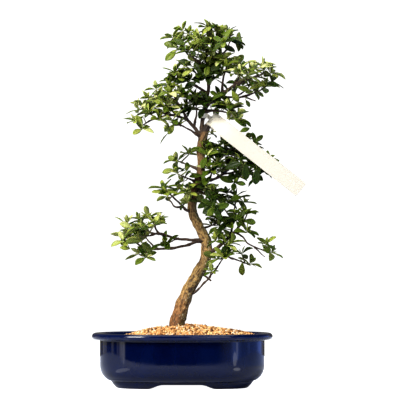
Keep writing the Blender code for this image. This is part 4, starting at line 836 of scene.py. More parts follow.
def arch_height(x, y):
    """The arches between the feet: h/2·(1-cos πt), where t runs from 0 at a foot to 1 past its slope."""
    front = np.clip((FRONT_ARCH_HALF - np.abs(x)) / FRONT_ARCH_SLOPE, 0.0, 1.0)
    side = np.clip((SIDE_ARCH_HALF - np.abs(y)) / SIDE_ARCH_SLOPE, 0.0, 1.0)
    return 0.5 * UNDERSIDE * (1.0 - np.cos(math.pi * np.maximum(front, side)))


def arc(centre, radius, start, stop, count):
    """Points of an arc, from one angle in degrees to another. An ellipse's arc has two half axes."""
    turn = np.radians(np.linspace(start, stop, count))
    return np.array(centre) + np.array(radius) * np.stack([np.cos(turn), np.sin(turn)], axis=-1)


def pot_section():
    """The wall's whole section: inside, the lip's bead, the fillet under it, the straight wall, foot."""
    bead = arc(BEAD_CENTRE, BEAD_RADIUS, 84.0, -80.0, 13)
    inside = even_route(np.vstack([POT_INSIDE, bead]), POT_PITCH)
    under = np.array([[4.4, LIP_UNDER], [2.4, LIP_UNDER]])
    fillet = arc((LIP_FILLET, LIP_UNDER - LIP_FILLET), LIP_FILLET, 90.0, 180.0, 4)
    heights = np.linspace(LIP_UNDER - LIP_FILLET, BELLY_CENTRE[1], 28)[1:-1]
    wall = np.stack([0.0 * heights, heights], axis=-1)
    belly = arc(BELLY_CENTRE, BELLY_REACH, 0.0, -81.0, 26)
    return np.vstack([inside, under, fillet, wall, belly, even_route(POT_FOOT, POT_PITCH)])


def pot_heap():
    """The pot: point(s, a) = (outline(a, offset(s)), the greater of height(s) and the arch)."""
    section = pot_section()
    angle = even_angles(POT_SIDES)
    plan = pot_outline(angle[None, :], section[:, :1], section[:, 1:2])
    level = np.maximum(section[:, 1:2], 0.0) + 0.0 * angle
    height = np.maximum(level, arch_height(plan[..., 0], plan[..., 1]))
    grid = np.concatenate([plan, height[..., None]], axis=-1)
    outer = np.arange(len(section)) > np.argmax(section[:, 0])
    bare = ease(-section[:, 0], -BARE_FROM - 0.8, -BARE_FROM + 0.4) * outer
    heading = unit(np.gradient(section, axis=0))
    turned = np.gradient(heading, axis=0)
    rounding = heading[:, 1] * turned[:, 0] - heading[:, 0] * turned[:, 1]
    # The rounded edges, where the glaze is rougher and its paler blue is partly a painted highlight
    edge = np.clip(rounding * 2.4, 0.0, 1.0) * (1.0 - bare)
    centres = np.array([[0.0, 0.0, section[0, 1]], [0.0, 0.0, UNDERSIDE]])
    points = np.vstack([grid.reshape(-1, 3), centres])
    # The section runs from the inside outwards and down, so its faces are turned to point outwards
    quads, triangles = tube_faces(len(section), POT_SIDES)
    heap = Heap()
    heap.add(points, quads[:, ::-1], triangles[:, ::-1],
             bare=np.append(np.repeat(bare, POT_SIDES), [0.0, 1.0]),
             edge=np.append(np.repeat(edge, POT_SIDES), [0.0, 0.0]))
    return heap


def cut_drains(piece):
    """The two drain holes, cut with plain round cutters."""
    angle = ring_angles(DRAIN_SIDES)
    for number, x in enumerate((-DRAIN_X, DRAIN_X)):
        ring = np.stack([x + DRAIN_RADIUS * np.cos(angle), DRAIN_RADIUS * np.sin(angle)], axis=-1)
        rings = [np.column_stack([ring, np.full(DRAIN_SIDES, z)]) for z in (0.0, DRAIN_TOP)]
        heap = Heap()
        quads, triangles = tube_faces(2, DRAIN_SIDES)
        heap.add(np.vstack([*rings, [[x, 0.0, 0.0], [x, 0.0, DRAIN_TOP]]]), quads, triangles,
                 bare=1.0, edge=0.0)
        cutter = bpy.data.objects.new(f"drain_{number}", heap.mesh(f"drain_{number}"))
        cutter.data.materials.append(piece.data.materials[0])
        bpy.context.scene.collection.objects.link(cutter)
        cut = piece.modifiers.new("drain", "BOOLEAN")
        cut.operation, cut.solver, cut.object = "DIFFERENCE", "EXACT", cutter
        graph = bpy.context.evaluated_depsgraph_get()
        mesh = bpy.data.meshes.new_from_object(piece.evaluated_get(graph), depsgraph=graph)
        piece.modifiers.remove(cut)
        bpy.data.objects.remove(cutter, do_unlink=True)
        piece.data = mesh
    piece.data.name = piece.name


def glaze_colour(recipe, pot, places, flow):
    """Blue that is darker where it pools and paler over rounded edges, partly thin glaze and partly a
    painted highlight along the lip and curves, with small pits.
    """
    blue = recipe.ramp(flow, (0.30, tuple(pot.deep)), (0.72, tuple(pot.glaze)))
    # Paler blue over rounded edges: partly glaze that runs thin there, partly a painted highlight line
    thin = recipe.times(recipe.attribute("edge"), recipe.noise(places, 150.0, 2.0))
    blue = recipe.mix(recipe.times(thin, 0.8), blue, tuple(pot.thin))
    pits = recipe.fade(recipe.cells(places, 900.0), 0.0, 0.10, 0.4, 0.0)
    return recipe.mix(pits, blue, GLAZE_PIT)


def glaze_material(pot):
    """Deep blue glaze that ends in a ragged line above a bare clay foot."""
    recipe = Recipe("blue_glaze")
    places = recipe.places()
    flow = recipe.noise(recipe.stretch(places, (1.0, 1.0, 0.35)), 38.0, 4.0)
    grit = recipe.noise(places, 700.0, 4.0, 0.7)
    clay = recipe.ramp(grit, (0.3, CLAY_DARK), (0.7, CLAY_PALE))
    ragged = recipe.times(recipe.minus(recipe.noise(places, 120.0, 2.0), 0.5), 0.7)
    clay_share = recipe.fade(recipe.plus(recipe.attribute("bare"), ragged), 0.42, 0.58)
    skin = recipe.times(recipe.noise(places, 45.0, 1.0), 0.04)
    height = recipe.plus(skin, recipe.times(clay_share, grit))
    rough = recipe.fade(flow, 0.3, 0.7, pot.gloss, pot.gloss + 0.03)
    rough = recipe.plus(rough, recipe.times(recipe.attribute("edge"), 0.13))
    return recipe.finish({
        "Base Color": recipe.mix(clay_share, glaze_colour(recipe, pot, places, flow), clay),
        "Roughness": recipe.math("MAXIMUM", rough, recipe.times(clay_share, 0.85)),
        "IOR": 1.5,
        "Specular IOR Level": 0.36,
        "Normal": recipe.bump(height, 0.0006, 0.35),
    })


def soil_height(x, y):
    """The mound: a blunt cone, e + r·max(0, 1 - (√(d² + b²) - 5) / s), that dips at both ends."""
    reach = np.hypot(np.hypot(x - SOIL_PEAK_X, y / SOIL_SQUASH), SOIL_BLUNT)
    cone = np.maximum(0.0, 1.0 - (reach - 5.0) / SOIL_SPREAD)
    dip = LEFT_DIP * ease(-x, 40.0, 78.0) + RIGHT_DIP * ease(x, 66.0, 94.0)
    return SOIL_EDGE + SOIL_RISE * cone - dip


def soil_bed_heap():
    """The packed soil under the grains: the outline scaled in to its middle, and down the wall."""
    shares = np.concatenate([np.linspace(0.05, 1.0, BED_RINGS), np.full(4, 1.0), [0.96, 0.86]])
    depth = np.concatenate([np.zeros(BED_RINGS), [8.0, 22.0, 36.0, 44.0], [48.4, 49.8]])
    angle = even_angles(POT_SIDES)
    plan = pot_outline(angle, SOIL_WALL)[None] * shares[:, None, None]
    x, y = plan[..., 0], plan[..., 1]
    crumbs = 0.5 * bumps(np.stack([x * 0.4, y * 0.4, 0.0 * x], axis=-1), 5)
    top = soil_height(x, y) + crumbs - BED_DROP
    low = SOIL_EDGE - depth[:, None] + 0.0 * x
    grid = np.stack([x, y, np.where(depth[:, None] > 0.0, low, top)], axis=-1)
    ends = [[0.0, 0.0, float(soil_height(0.0, 0.0)) - BED_DROP], [0.0, 0.0, POT_FLOOR + 0.4]]
    quads, triangles = tube_faces(len(shares), POT_SIDES)
    heap = Heap()
    heap.add(np.vstack([grid.reshape(-1, 3), ends]), quads[:, ::-1], triangles[:, ::-1])
    return heap


def grain_template():
    """A round body: three rings of eight at 45, 90 and 135 degrees from its pole, and two poles."""
    tilt = np.radians([135.0, 90.0, 45.0])[:, None]
    angle = ring_angles(GRAIN_SIDES)
    ring = np.stack([np.sin(tilt) * np.cos(angle), np.sin(tilt) * np.sin(angle),
                     np.cos(tilt) + 0.0 * angle], axis=-1)
    return np.vstack([ring.reshape(-1, 3), [[0.0, 0.0, -1.0], [0.0, 0.0, 1.0]]])


def grain_places(pitch, draw):
    """A shaken hexagonal grid over the soil, without the places outside it or in the trunk."""
    across, deep = (int(reach / pitch) for reach in GRAIN_REACH)
    row, column = np.meshgrid(np.arange(-deep, deep + 1), np.arange(-across, across + 1), indexing="ij")
    x = (column + 0.5 * (row % 2)).ravel() * pitch + draw.uniform(-GRAIN_SHAKE, GRAIN_SHAKE, row.size)
    y = row.ravel() * pitch * 0.866 + draw.uniform(-GRAIN_SHAKE, GRAIN_SHAKE, row.size)
    wall = SOIL_WALL - GRAIN_FROM_WALL
    inside = (np.abs(x) / (POT_HALF_X + wall)) ** POT_POWER
    inside += (np.abs(y) / (POT_HALF_Y + wall)) ** POT_POWER
    keep = (inside < 1.0) & (np.hypot(x - TRUNK_FOOT_X, y) > TRUNK_FOOT_RADIUS)
    return x[keep], y[keep]


def turned_axes(draw, items):
    """Random turns: three axes each, made square to each other."""
    first = unit(draw.normal(size=(items, 3)))
    rough = draw.normal(size=(items, 3))
    second = unit(rough - first * np.sum(rough * first, axis=1, keepdims=True))
    return np.stack([first, second, np.cross(first, second)], axis=1)


def grain_heap(soil):
    """The grains: centre + turn·(half axes × ball × (1 + lumps)), one closed body each."""
    draw = np.random.default_rng(11)
    x, y = grain_places(soil.pitch / MM, draw)
    items = len(x)
    ball = grain_template()
    half = draw.uniform(soil.smallest / MM, soil.largest / MM, items)[:, None]
    half = half * draw.uniform(0.82, 1.18, (items, 3))
    lumps = 1.0 + draw.uniform(-0.13, 0.13, (items, len(ball)))
    local = ball[None] * lumps[..., None] * half[:, None]
    turned = np.einsum("nij,npi->npj", turned_axes(draw, items), local)
    z = soil_height(x, y) + draw.uniform(-2.3, 0.9, items) - 0.3
    points = np.stack([x, y, z], axis=-1)[:, None] + turned
    quads, triangles = tube_faces(3, GRAIN_SIDES)
    heap = Heap()
    heap.add(points, repeat_faces(quads, items, len(ball)), repeat_faces(triangles, items, len(ball)),
             tone=np.repeat(draw.uniform(0.0, 1.0, items), len(ball)),
             pale=np.repeat(draw.uniform(0.0, 1.0, items), len(ball)))
    return heap


def grain_material(soil):
    """Fired clay grains: tan to orange, a few pale or dark, dusty and rough."""
    recipe = Recipe("clay_grains")
    places = recipe.places()
    tone = recipe.attribute("tone")
    rust = tuple(value * 0.55 for value in soil.colour)
    colour = recipe.ramp(tone, (0.0, GRAIN_DARK), (0.26, rust), (0.52, tuple(soil.colour)),
                         (1.0, GRAIN_BRIGHT))
    colour = recipe.mix(recipe.fade(recipe.attribute("pale"), 0.88, 0.94), colour, GRAIN_CHALK)
    grit = recipe.noise(places, 1500.0, 3.0, 0.7)
    colour = recipe.mix(recipe.fade(grit, 0.35, 0.7, 0.35, 0.0), colour, GRAIN_DUST)
    return recipe.finish({
        "Base Color": colour,
        "Roughness": 0.88,
        "Normal": recipe.bump(grit, 0.0006, 0.5),
    })


def fines_and_shade_material():
    """Dark fines between the grains, painted near-black as the shade in the gaps between them."""
    recipe = Recipe("soil_fines_and_shade")
    grit = recipe.noise(recipe.places(), 600.0, 5.0, 0.7)
    return recipe.finish({
        "Base Color": recipe.ramp(grit, (0.3, FINES_AND_SHADE_DARK), (0.7, FINES_AND_SHADE_PALE)),
        "Roughness": 0.95,
        "Normal": recipe.bump(grit, 0.0015, 0.8),
    })


def trunk_relief(run, angle, place):
    """Bark: long ridges round the trunk, broad lumps, fine plates, a knot, and roots that swell."""
    around = np.stack([np.cos(angle), np.sin(angle), 0.0 * angle], axis=-1)
    along = np.stack([0.0 * run, 0.0 * run, run], axis=-1)
    ridges = RIDGE_HEIGHT * bumps(around * 2.3 + along * 0.05, 1)
    lumps = LUMP_HEIGHT * bumps(place * 0.14, 2)
    plates = PLATE_HEIGHT * bumps(around * 6.0 + along * 0.24, 3)
    height = place[..., 2]
    swell = ROOT_HEIGHT * np.exp(-np.maximum(height - ROOT_TOP, 0.0) / 7.5)
    roots = swell * np.cos(2.5 * angle + 0.6) ** 2
    away = np.linalg.norm(place - np.array(KNOT), axis=-1)
    knot = 1.3 * np.exp(-(away / 3.4) ** 2) - 1.1 * np.exp(-(away / 1.5) ** 2)
    collars = sum(swelling * np.exp(-((height - middle) / reach) ** 2)
                  for middle, reach, swelling in COLLARS)
    return ridges + lumps + plates + roots + knot + collars


def branch_relief(seed):
    """A branch's bark: small lumps and rings that follow it."""
    def relief(reach, angle, place):
        rings = bumps(np.stack([0.3 * np.cos(angle), 0.3 * np.sin(angle), reach * 0.5], axis=-1), seed)
        return 0.16 * bumps(place * 0.55, seed + 1) + 0.10 * rings
    return relief


def branch_rows(route, seed):
    """A branch at an even pitch: it wanders a little, and swells at buds and where it starts."""
    rows = even_route(route, 1.5)
    reach = reach_along(rows[:, :3])
    hold = np.sin(math.pi * reach / reach[-1])[:, None]
    drift = [bumps(np.stack([reach * 0.13, 0.0 * reach + seed, 0.0 * reach], axis=-1), seed + i)
             for i in range(3)]
    rows[:, :3] += 0.55 * hold * np.stack(drift, axis=-1)
    buds = bumps(np.stack([reach * 0.16, 0.0 * reach, 0.0 * reach + seed], axis=-1), seed + 7)
    rows[:, 3] *= 0.72 + 0.22 * ease(buds, 0.25, 0.8) + 0.42 * np.exp(-reach / 5.0)
    return rows


def trunk_heap():
    """The trunk up to the cut stub at its top."""
    rows = [*TRUNK[:-1], (25.2, -5.0, 307.4, 5.1), *BRANCHES["stub"][1:], (32.3, -4.2, 326.8, 3.6)]
    heap = Heap()
    add_limb(heap, even_route(rows, 1.0), 52, trunk_relief, 0.05)
    return heap


def branch_heap():
    """Every branch, twig and woody spur."""
    heap = Heap()
    for seed, (name, route) in enumerate(BRANCHES.items()):
        if name == "stub":
            continue
        sides = 22 if route[0][3] > 3.5 else 16 if route[0][3] > 2.4 else 12
        add_limb(heap, branch_rows(route, seed), sides, branch_relief(seed))
    for seed, (branch, share, whorls) in enumerate(SPRAYS):
        seat, _, start = spray_seat(branch, share, whorls)
        if start is not None:
            rows = branch_rows(((*start, 1.5), (*seat, 1.15)), seed + 80)
            add_limb(heap, rows, 10, branch_relief(seed + 80))
    return heap


def trunk_colour(recipe, wood, grain, plates, cracks):
    """Tan plates over dark cracks, redder higher up, a green mottle on the side facing right that is
    painted darker there as painted shade, painted shade in the knot's hollow, and dark at the cut.
    """
    seams = recipe.noise(recipe.stretch(grain, (1.0, 1.0, 0.2)), 260.0, 3.0, 0.6)
    places = recipe.places()
    broad = recipe.noise(places, 70.0, 3.0)
    height = recipe.axes(places)[2]
    facing = recipe.attribute("facing")
    lit = recipe.mix(recipe.fade(broad, 0.30, 0.70), tuple(wood.bark), BARK_OCHRE)
    lit = recipe.mix(recipe.times(recipe.fade(height, *UPPER_BARK), 0.75), lit, tuple(wood.upper))
    lit = recipe.mix(recipe.fade(height, *RED_BARK, 0.0, 0.75), lit, BARK_RED)
    lit = recipe.mix(recipe.fade(height, *FOOT_BARK, 0.0, 0.6), lit, BARK_FOOT)
    # Painted shade: the side facing right, away from the light, gets a darker green mottle, partly real
    # mottling
    green_mottle_and_shade = recipe.times(recipe.fade(facing, -0.1, 0.75), recipe.fade(broad, 0.34, 0.56))
    lit = recipe.mix(recipe.times(green_mottle_and_shade, 0.8), lit, tuple(wood.green_mottle_and_shade))
    colour = recipe.mix(recipe.fade(plates, 0.38, 0.58, 0.22, 1.0), BARK_GAP, lit)
    colour = recipe.mix(recipe.fade(seams, 0.42, 0.36, 0.0, 0.8), colour, BARK_SEAM)
    fleck = recipe.times(recipe.fade(cracks, 0.34, 0.10), recipe.fade(facing, -0.4, 0.6, 0.15, 0.8))
    fleck = recipe.times(fleck, recipe.fade(height, *FLECKED_BARK, 0.08, 1.0))
    colour = recipe.mix(fleck, colour, BARK_FLECK)
    # Painted shade: the knot's shallow hollow is painted near-black as the shade of a deep hole
    feeds = {0: places, 1: tuple(np.array(KNOT) * MM + SHIFT)}
    hollow = recipe.add("VectorMath", feeds, operation="DISTANCE").outputs["Value"]
    colour = recipe.mix(recipe.fade(hollow, 0.0048, 0.0022, 0.0, 0.9), colour, KNOT_HOLLOW_SHADE)
    cut = recipe.plus(height, recipe.times(plates, 0.006))
    return recipe.mix(recipe.fade(cut, *CUT_TOP), colour, CUT_WOOD)


def bark_material(name, wood, thin):
    """Bark in plates that follow the limb, plain and fine on the thin wood."""
    recipe = Recipe(name)
    grain = recipe.attribute("wood", "Vector")
    plates = recipe.noise(recipe.stretch(grain, (1.0, 1.0, 0.6)), 380.0, 4.0, 0.62)
    cracks = recipe.cells(recipe.stretch(grain, (1.0, 1.0, 0.4)), 480.0)
    if thin:
        colour = recipe.ramp(plates, (0.3, TWIG_DARK), (0.75, tuple(wood.twig)))
    else:
        colour = trunk_colour(recipe, wood, grain, plates, cracks)
    relief = recipe.plus(plates, recipe.times(cracks, 0.4))
    return recipe.finish({
        "Base Color": colour,
        "Roughness": 0.72 if thin else 0.82,
        "Normal": recipe.bump(relief, 0.0005 if thin else 0.0012, 0.75),
    })


def shoot_material(wood):
    """Young shoots: green skin that turns brown towards the wood, with fine hairs as a bump."""
    recipe = Recipe("green_shoots")
    fibre = recipe.noise(recipe.stretch(recipe.attribute("wood", "Vector"), (1.0, 1.0, 0.15)), 900.0, 3.0)
    green = recipe.ramp(fibre, (0.3, SHOOT_DARK), (0.7, tuple(wood.shoot)))
    return recipe.finish({
        "Base Color": recipe.mix(recipe.attribute("woody"), green, SHOOT_WOODY),
        "Roughness": 0.55,
        "Normal": recipe.bump(fibre, 0.0004, 0.6),
    })


def point_along(route, share):
    """The place at a share of a route's length."""
    places = np.array([row[:3] for row in route], float)
    reach = reach_along(places)
    return np.array([np.interp(share * reach[-1], reach, column) for column in places.T])


def spray_seat(branch, share, whorls):
    """Where a shoot leaves the wood, its direction there, and where its spur starts or None."""
    route = BRANCHES[branch]
    tip = point_along(route, share)
    if share >= 1.0:
        return tip, unit(tip - np.array(route[-2][:3])), None
    seat = tip + (np.mean(np.array(whorls, float), axis=0) - tip) * SPUR_SHARE
    return seat, unit(seat - tip), tip


def whorl_axes(key, headings):
    """Two axes across a shoot's end: the first is carried along its headings without twist."""
    start = random.Random(key).uniform(0.0, 2 * math.pi)
    side = np.array([math.cos(start), math.sin(start), 0.21])
    for heading in headings:
        heading = unit(heading)
        side = unit(side - heading * (side @ heading))
    return side, np.cross(heading, side)


def leaf_age(draw, age):
    """A leaf's own age: near its shoot's, but now and then much older or much younger."""
    odd = draw.random()
    step = 0.38 if odd > 0.80 else -0.26 if odd < 0.14 and age < 0.6 else 0.0
    return min(1.0, max(0.0, age + step + draw.gauss(0.0, 0.10)))


def leaf_row(draw, base, ahead, growth, length, age, curl=LEAF_CURL):
    """One leaf: its place, its two directions, its size, its bends and its age."""
    normal = unit(growth - ahead * (growth @ ahead))
    return (*base, *ahead, *normal, length, 0.5 * length * draw.uniform(*LEAF_HALF_SHARE),
            draw.uniform(*curl), draw.uniform(*LEAF_TWIST), draw.uniform(*LEAF_FOLD),
            draw.uniform(*LEAF_SHAPE), draw.uniform(0.0, 6.28),
            leaf_age(draw, age), draw.uniform(0.0, 1.0))


def spoke_at(side, other, turn):
    """The direction at an angle round a shoot: A·cos a + B·sin a."""
    return side * math.cos(turn) + other * math.sin(turn)


def lean(growth, out, tilt):
    """A direction tilted away from the growth: G·cos t + O·sin t."""
    return growth * math.cos(tilt) + out * math.sin(tilt)


def twig_route(start, middle, end):
    """A thin shoot's rows: place, radius and how woody it is."""
    return (*start, 0.7, 0.5), (*middle, 0.6, 0.25), (*end, 0.5, 0.0)


class Growth:
    """The leaves and shoots of one leafy part of the tree."""

    def __init__(self):
        self.leaves = []
        self.shoots = []

    def grow(self, number):
        """Every whorl of one spray, by the same draws as the solids, and the smaller whorls round it."""
        branch, share, whorls = SPRAYS[number]
        tone, fullness = CHARACTER[number]
        seat, ahead, _ = spray_seat(branch, share, whorls)
        for part, whorl in enumerate(whorls):
            key = f"whorl {number} {part}"
            end = np.array(whorl, float)
            reach = np.linalg.norm(end - seat)
            bend = seat + ahead * min(BEND_REACH, reach * BEND_SHARE)
            growth = unit(unit(end - bend) * GROWTH_AHEAD + UP * GROWTH_UP)
            hub = end - growth * HUB_HEIGHT
            start = seat if part == 0 else seat + ahead
            headings = [hub - start, growth, growth]
            if part == 0:
                headings.insert(0, bend - start)
            side, other = whorl_axes(key, headings)
            self.shoots.append(((*start, 1.05, 0.8), (*bend, 0.95, 0.55), (*hub, 0.85, 0.1),
                                (*end, 0.7, 0.0)))
            self.whorl(number, key, end - growth * HUB_HEIGHT / 2, growth, side, other, part, tone)
            draw = random.Random("more " + key)
            self.young(draw, end, growth, side, other, tone)
            for _ in range(int(SIDE_SHARE * fullness + draw.random())):
                self.side_whorl(draw, bend, end, growth, side, other, tone)
            if fullness > 0.9:
                self.single_leaves(draw, bend, hub, growth, side, other, tone)

    def whorl(self, number, key, base, growth, side, other, part, tone):
        """The large leaves of a whorl: odd ones stand up, even ones lie out."""
        draw = random.Random(key)
        sides = NEXT_WHORL_LEAVES if part else FIRST_WHORL_LEAVES
        looks = random.Random("looks " + key)
        for i in range(sides):
            azimuth = 2 * math.pi * (i + 0.5) / sides + draw.uniform(-LEAF_SPREAD, LEAF_SPREAD)
            tilt = math.radians(draw.uniform(*(HIGH_TILT if i % 2 else LOW_TILT)))
            length = draw.uniform(*LEAF_LENGTH) * LEAF_SHRINK * SMALL_SPRAYS.get(number, 1.0)
            ahead = lean(growth, spoke_at(side, other, azimuth), tilt)
            age = tone + (0.0 if i % 2 else 0.10)
            self.leaves.append(leaf_row(looks, base + ahead * 0.8, ahead, growth, length, age))

    def young(self, draw, end, growth, side, other, tone):
        """Small pale leaves that stand up round the bud."""
        for i in range(draw.randint(2, 4)):
            azimuth = i * 2.4 + draw.uniform(-0.4, 0.4)
            tilt = math.radians(draw.uniform(14.0, 52.0))
            ahead = lean(growth, spoke_at(side, other, azimuth), tilt)
            self.leaves.append(leaf_row(draw, end + ahead * 0.5, ahead, growth, draw.uniform(*YOUNG_LENGTH),
                                        tone - 0.22, YOUNG_CURL))

    def side_whorl(self, draw, bend, end, growth, side, other, tone):
        """A smaller whorl on its own twiglet beside the main one."""
        azimuth = draw.uniform(0.0, 2 * math.pi)
        around = spoke_at(side, other, azimuth)
        place = end + around * draw.uniform(7.0, 12.0) + growth * draw.uniform(-8.0, 2.0)
        heading = unit(around * 0.7 + growth * 0.5 + UP * 0.45)
        start = bend + (end - bend) * draw.uniform(0.1, 0.5)
        self.twiglet(draw, start, place, heading, tone, SIDE_LENGTH)

    def twiglet(self, draw, start, place, heading, tone, lengths):
        """A thin twiglet that ends in a whorl of smaller leaves."""
        middle = (start + place) / 2 - heading * 1.0
        self.shoots.append(twig_route(start, middle, place))
        across = unit(np.cross(heading, place - start + UP * 0.3))
        third = np.cross(heading, across)
        leaves = draw.randint(4, 5)
        for i in range(leaves):
            turn = 2 * math.pi * i / leaves + draw.uniform(-0.35, 0.35)
            tilt = math.radians(draw.uniform(42.0, 88.0))
            out = spoke_at(across, third, turn)
            ahead = lean(heading, out, tilt)
            age = tone + draw.uniform(-0.12, 0.18)
            self.leaves.append(leaf_row(draw, place + ahead * 0.5, ahead, heading,
                                        draw.uniform(*lengths), age))
        for i in range(2):
            ahead = unit(heading + across * draw.uniform(-0.5, 0.5) + third * draw.uniform(-0.5, 0.5))
            self.leaves.append(leaf_row(draw, place, ahead, unit(out), draw.uniform(7.0, 11.0), tone - 0.2))

    def more(self, x, y, z, tone, wood):
        """A whorl at a chosen place, on a twiglet from the nearest wood below it."""
        draw = random.Random(f"at {x} {y} {z}")
        place = np.array([x, y, z], float)
        away = place - wood
        start = wood[np.argmin(np.linalg.norm(away, axis=1) + np.maximum(0.0, -away[:, 2]))]
        heading = unit(unit(place - start + UP) * 0.5 + UP * 0.5 + np.array([0.0, -0.35, 0.0]))
        lengths = OLD_LENGTH if tone > OLD_TONE else FRESH_LENGTH
        self.twiglet(draw, start, place, heading, tone, lengths)

    def single_leaves(self, draw, bend, hub, growth, side, other, tone):
        """Leaves that leave the shoot one by one below its whorl."""
        for share in (0.35, 0.7):
            turn = draw.uniform(0.0, 2 * math.pi)
            out = spoke_at(side, other, turn)
            ahead = unit(out + growth * draw.uniform(0.1, 0.6))
            base = bend + (hub - bend) * share
            self.leaves.append(leaf_row(draw, base + ahead * 0.7, ahead, growth,
                                        draw.uniform(*SINGLE_LENGTH), tone + 0.30))

    def lone(self, x, y, z, turn, length, age, wood):
        """One leaf that faces the front: its middle, its direction as seen from the front, its size."""
        draw = random.Random(f"lone {x} {y} {z}")
        turn = math.radians(turn)
        ahead = unit([math.cos(turn), draw.uniform(-0.25, 0.25), math.sin(turn)])
        base = np.array([x, y, z], float) - ahead * length / 2
        start = wood[np.argmin(np.linalg.norm(base - wood, axis=1))]
        middle = (start + base) / 2 + UP * 1.5
        self.shoots.append(twig_route(start, middle, base))
        facing = unit(np.array([draw.uniform(-0.35, 0.1), -1.0, draw.uniform(0.1, 0.5)]))
        row = list(leaf_row(draw, base, ahead, facing, length, age, LONE_CURL))
        row[WIDTH] = 0.5 * length * draw.uniform(0.46, 0.56)
        row[AGE] = age
        self.leaves.append(row)


def wood_places():
    """Places at an even pitch along every branch, and the shoots' own ends."""
    ends = [whorl for spray in SPRAYS for whorl in spray[2]]
    return np.vstack([*(even_route(route, 3.0)[:, :3] for route in BRANCHES.values()), ends])


def leaf_template():
    """The leaf's own coordinates: u along it, v across it, and +1 or -1 for its two faces."""
    u = np.append(np.repeat(LEAF_STOPS, len(LEAF_ACROSS)), [0.0, 1.0])
    v = np.append(np.tile(LEAF_ACROSS, len(LEAF_STOPS)), [0.0, 0.0])
    face = np.append(np.tile(LEAF_FACES, len(LEAF_STOPS)), [0.0, 0.0])
    return u, v, face


def leaf_points(rows):
    """All points of many leaves.

    The rib is an arc: ahead·L·sin(cu)/c - normal·L·(1-cos cu)/c for a curl c. The blade reaches
    w·sin(πu^p)^0.75 to each side, is folded up by its distance from the rib, ripples at its edge,
    turns about the rib along its length, and is thickest at the rib.
    """
    rows = np.asarray(rows)[:, None]
    u, v, face = leaf_template()
    base, ahead, normal = rows[..., BASE], rows[..., AHEAD], rows[..., NORMAL]
    length, width, curl, twist, fold, shape, wave = np.moveaxis(rows[..., LENGTH:AGE], -1, 0)
    curl = np.where(np.abs(curl) < 0.01, 0.01, curl)
    bent = curl * u
    rib = (base + ahead * (length * np.sin(bent) / curl)[..., None]
           - normal * (length * (1.0 - np.cos(bent)) / curl)[..., None])
    across = np.cross(normal, ahead)
    up = normal * np.cos(bent)[..., None] + ahead * np.sin(bent)[..., None]
    turn = (twist * u)[..., None]
    side = across * np.cos(turn) + up * np.sin(turn)
    rise = up * np.cos(turn) - across * np.sin(turn)
    out = width * np.maximum(np.sin(math.pi * u ** shape), 0.0) ** 0.75
    ripple = 0.10 * np.sin(9.0 * u + wave + 2.0 * v)
    lift = out * np.abs(v) * (fold + ripple) + LEAF_HALF_THICKNESS * face * (1.0 - v ** 2)
    return rib + side * (out * v)[..., None] + rise * lift[..., None]


def label_axes():
    """The strip's start and length, and the directions along it, across it and out of its face."""
    start = np.array(LABEL_START)
    run = np.array(LABEL_END) - start
    length = np.linalg.norm(run)
    along = run / length
    front = np.array([0.0, -1.0, 0.0])
    out = unit(front - along * (front @ along))
    return start, length, along, np.cross(out, along), out


def clear_of_label(rows):
    """The leaves that don't lie over the label: their middle or tip would fall inside its edges."""
    start, _, along, across, out = label_axes()
    keep = np.ones(len(rows), bool)
    for share in (0.25, 0.5, 0.75, 1.0):
        away = rows[:, BASE] + rows[:, AHEAD] * rows[:, LENGTH, None] * share - start
        beside = np.abs(away @ across) > LABEL_HALF + LABEL_MARGIN
        keep &= (away @ along < LABEL_START_HIDDEN) | beside | (away @ out < -LABEL_BEHIND)
    return rows[keep]


def leaf_heap(growth):
    """Every leaf of one part of the tree in one piece."""
    rows = clear_of_label(np.array(growth.leaves))
    u, v, face = leaf_template()
    items, size = len(rows), len(u)
    quads, triangles = tube_faces(len(LEAF_STOPS), len(LEAF_ACROSS))
    heap = Heap()
    heap.add(leaf_points(rows), repeat_faces(quads, items, size), repeat_faces(triangles, items, size),
             uv=np.tile(np.stack([u, 0.5 + 0.5 * v], axis=-1), (items, 1)),
             age=np.repeat(rows[:, AGE], size), tint=np.repeat(rows[:, TINT], size),
             back=np.tile(np.clip(0.5 - face, 0.0, 1.0), items))
    return heap


def shoot_heap(growths):
    """The green shoots and twiglets that carry the whorls."""
    heap = Heap()
    for growth in growths:
        for route in growth.shoots:
            rows = even_route(route, 1.8)
            woody = np.append(np.repeat(rows[:, 4], 7), [rows[0, 4], rows[-1, 4]])
            add_limb(heap, rows[:, :4], 7, None, 1.2, woody=woody)
    return heap


def leaf_green(recipe, leaves, age):
    """The blade's colour by its age, from pale new leaves to dark old ones, a few of them rusty."""
    green = recipe.ramp(age, (0.0, tuple(leaves.young)), (0.30, tuple(leaves.fresh)),
                        (0.62, tuple(leaves.mature)), (1.0, tuple(leaves.old)))
    rust = recipe.fade(recipe.attribute("tint"), 0.72, 1.0, 0.0, 0.45)
    return recipe.mix(recipe.times(rust, recipe.fade(age, 0.75, 0.45)), green, LEAF_RUSTY)


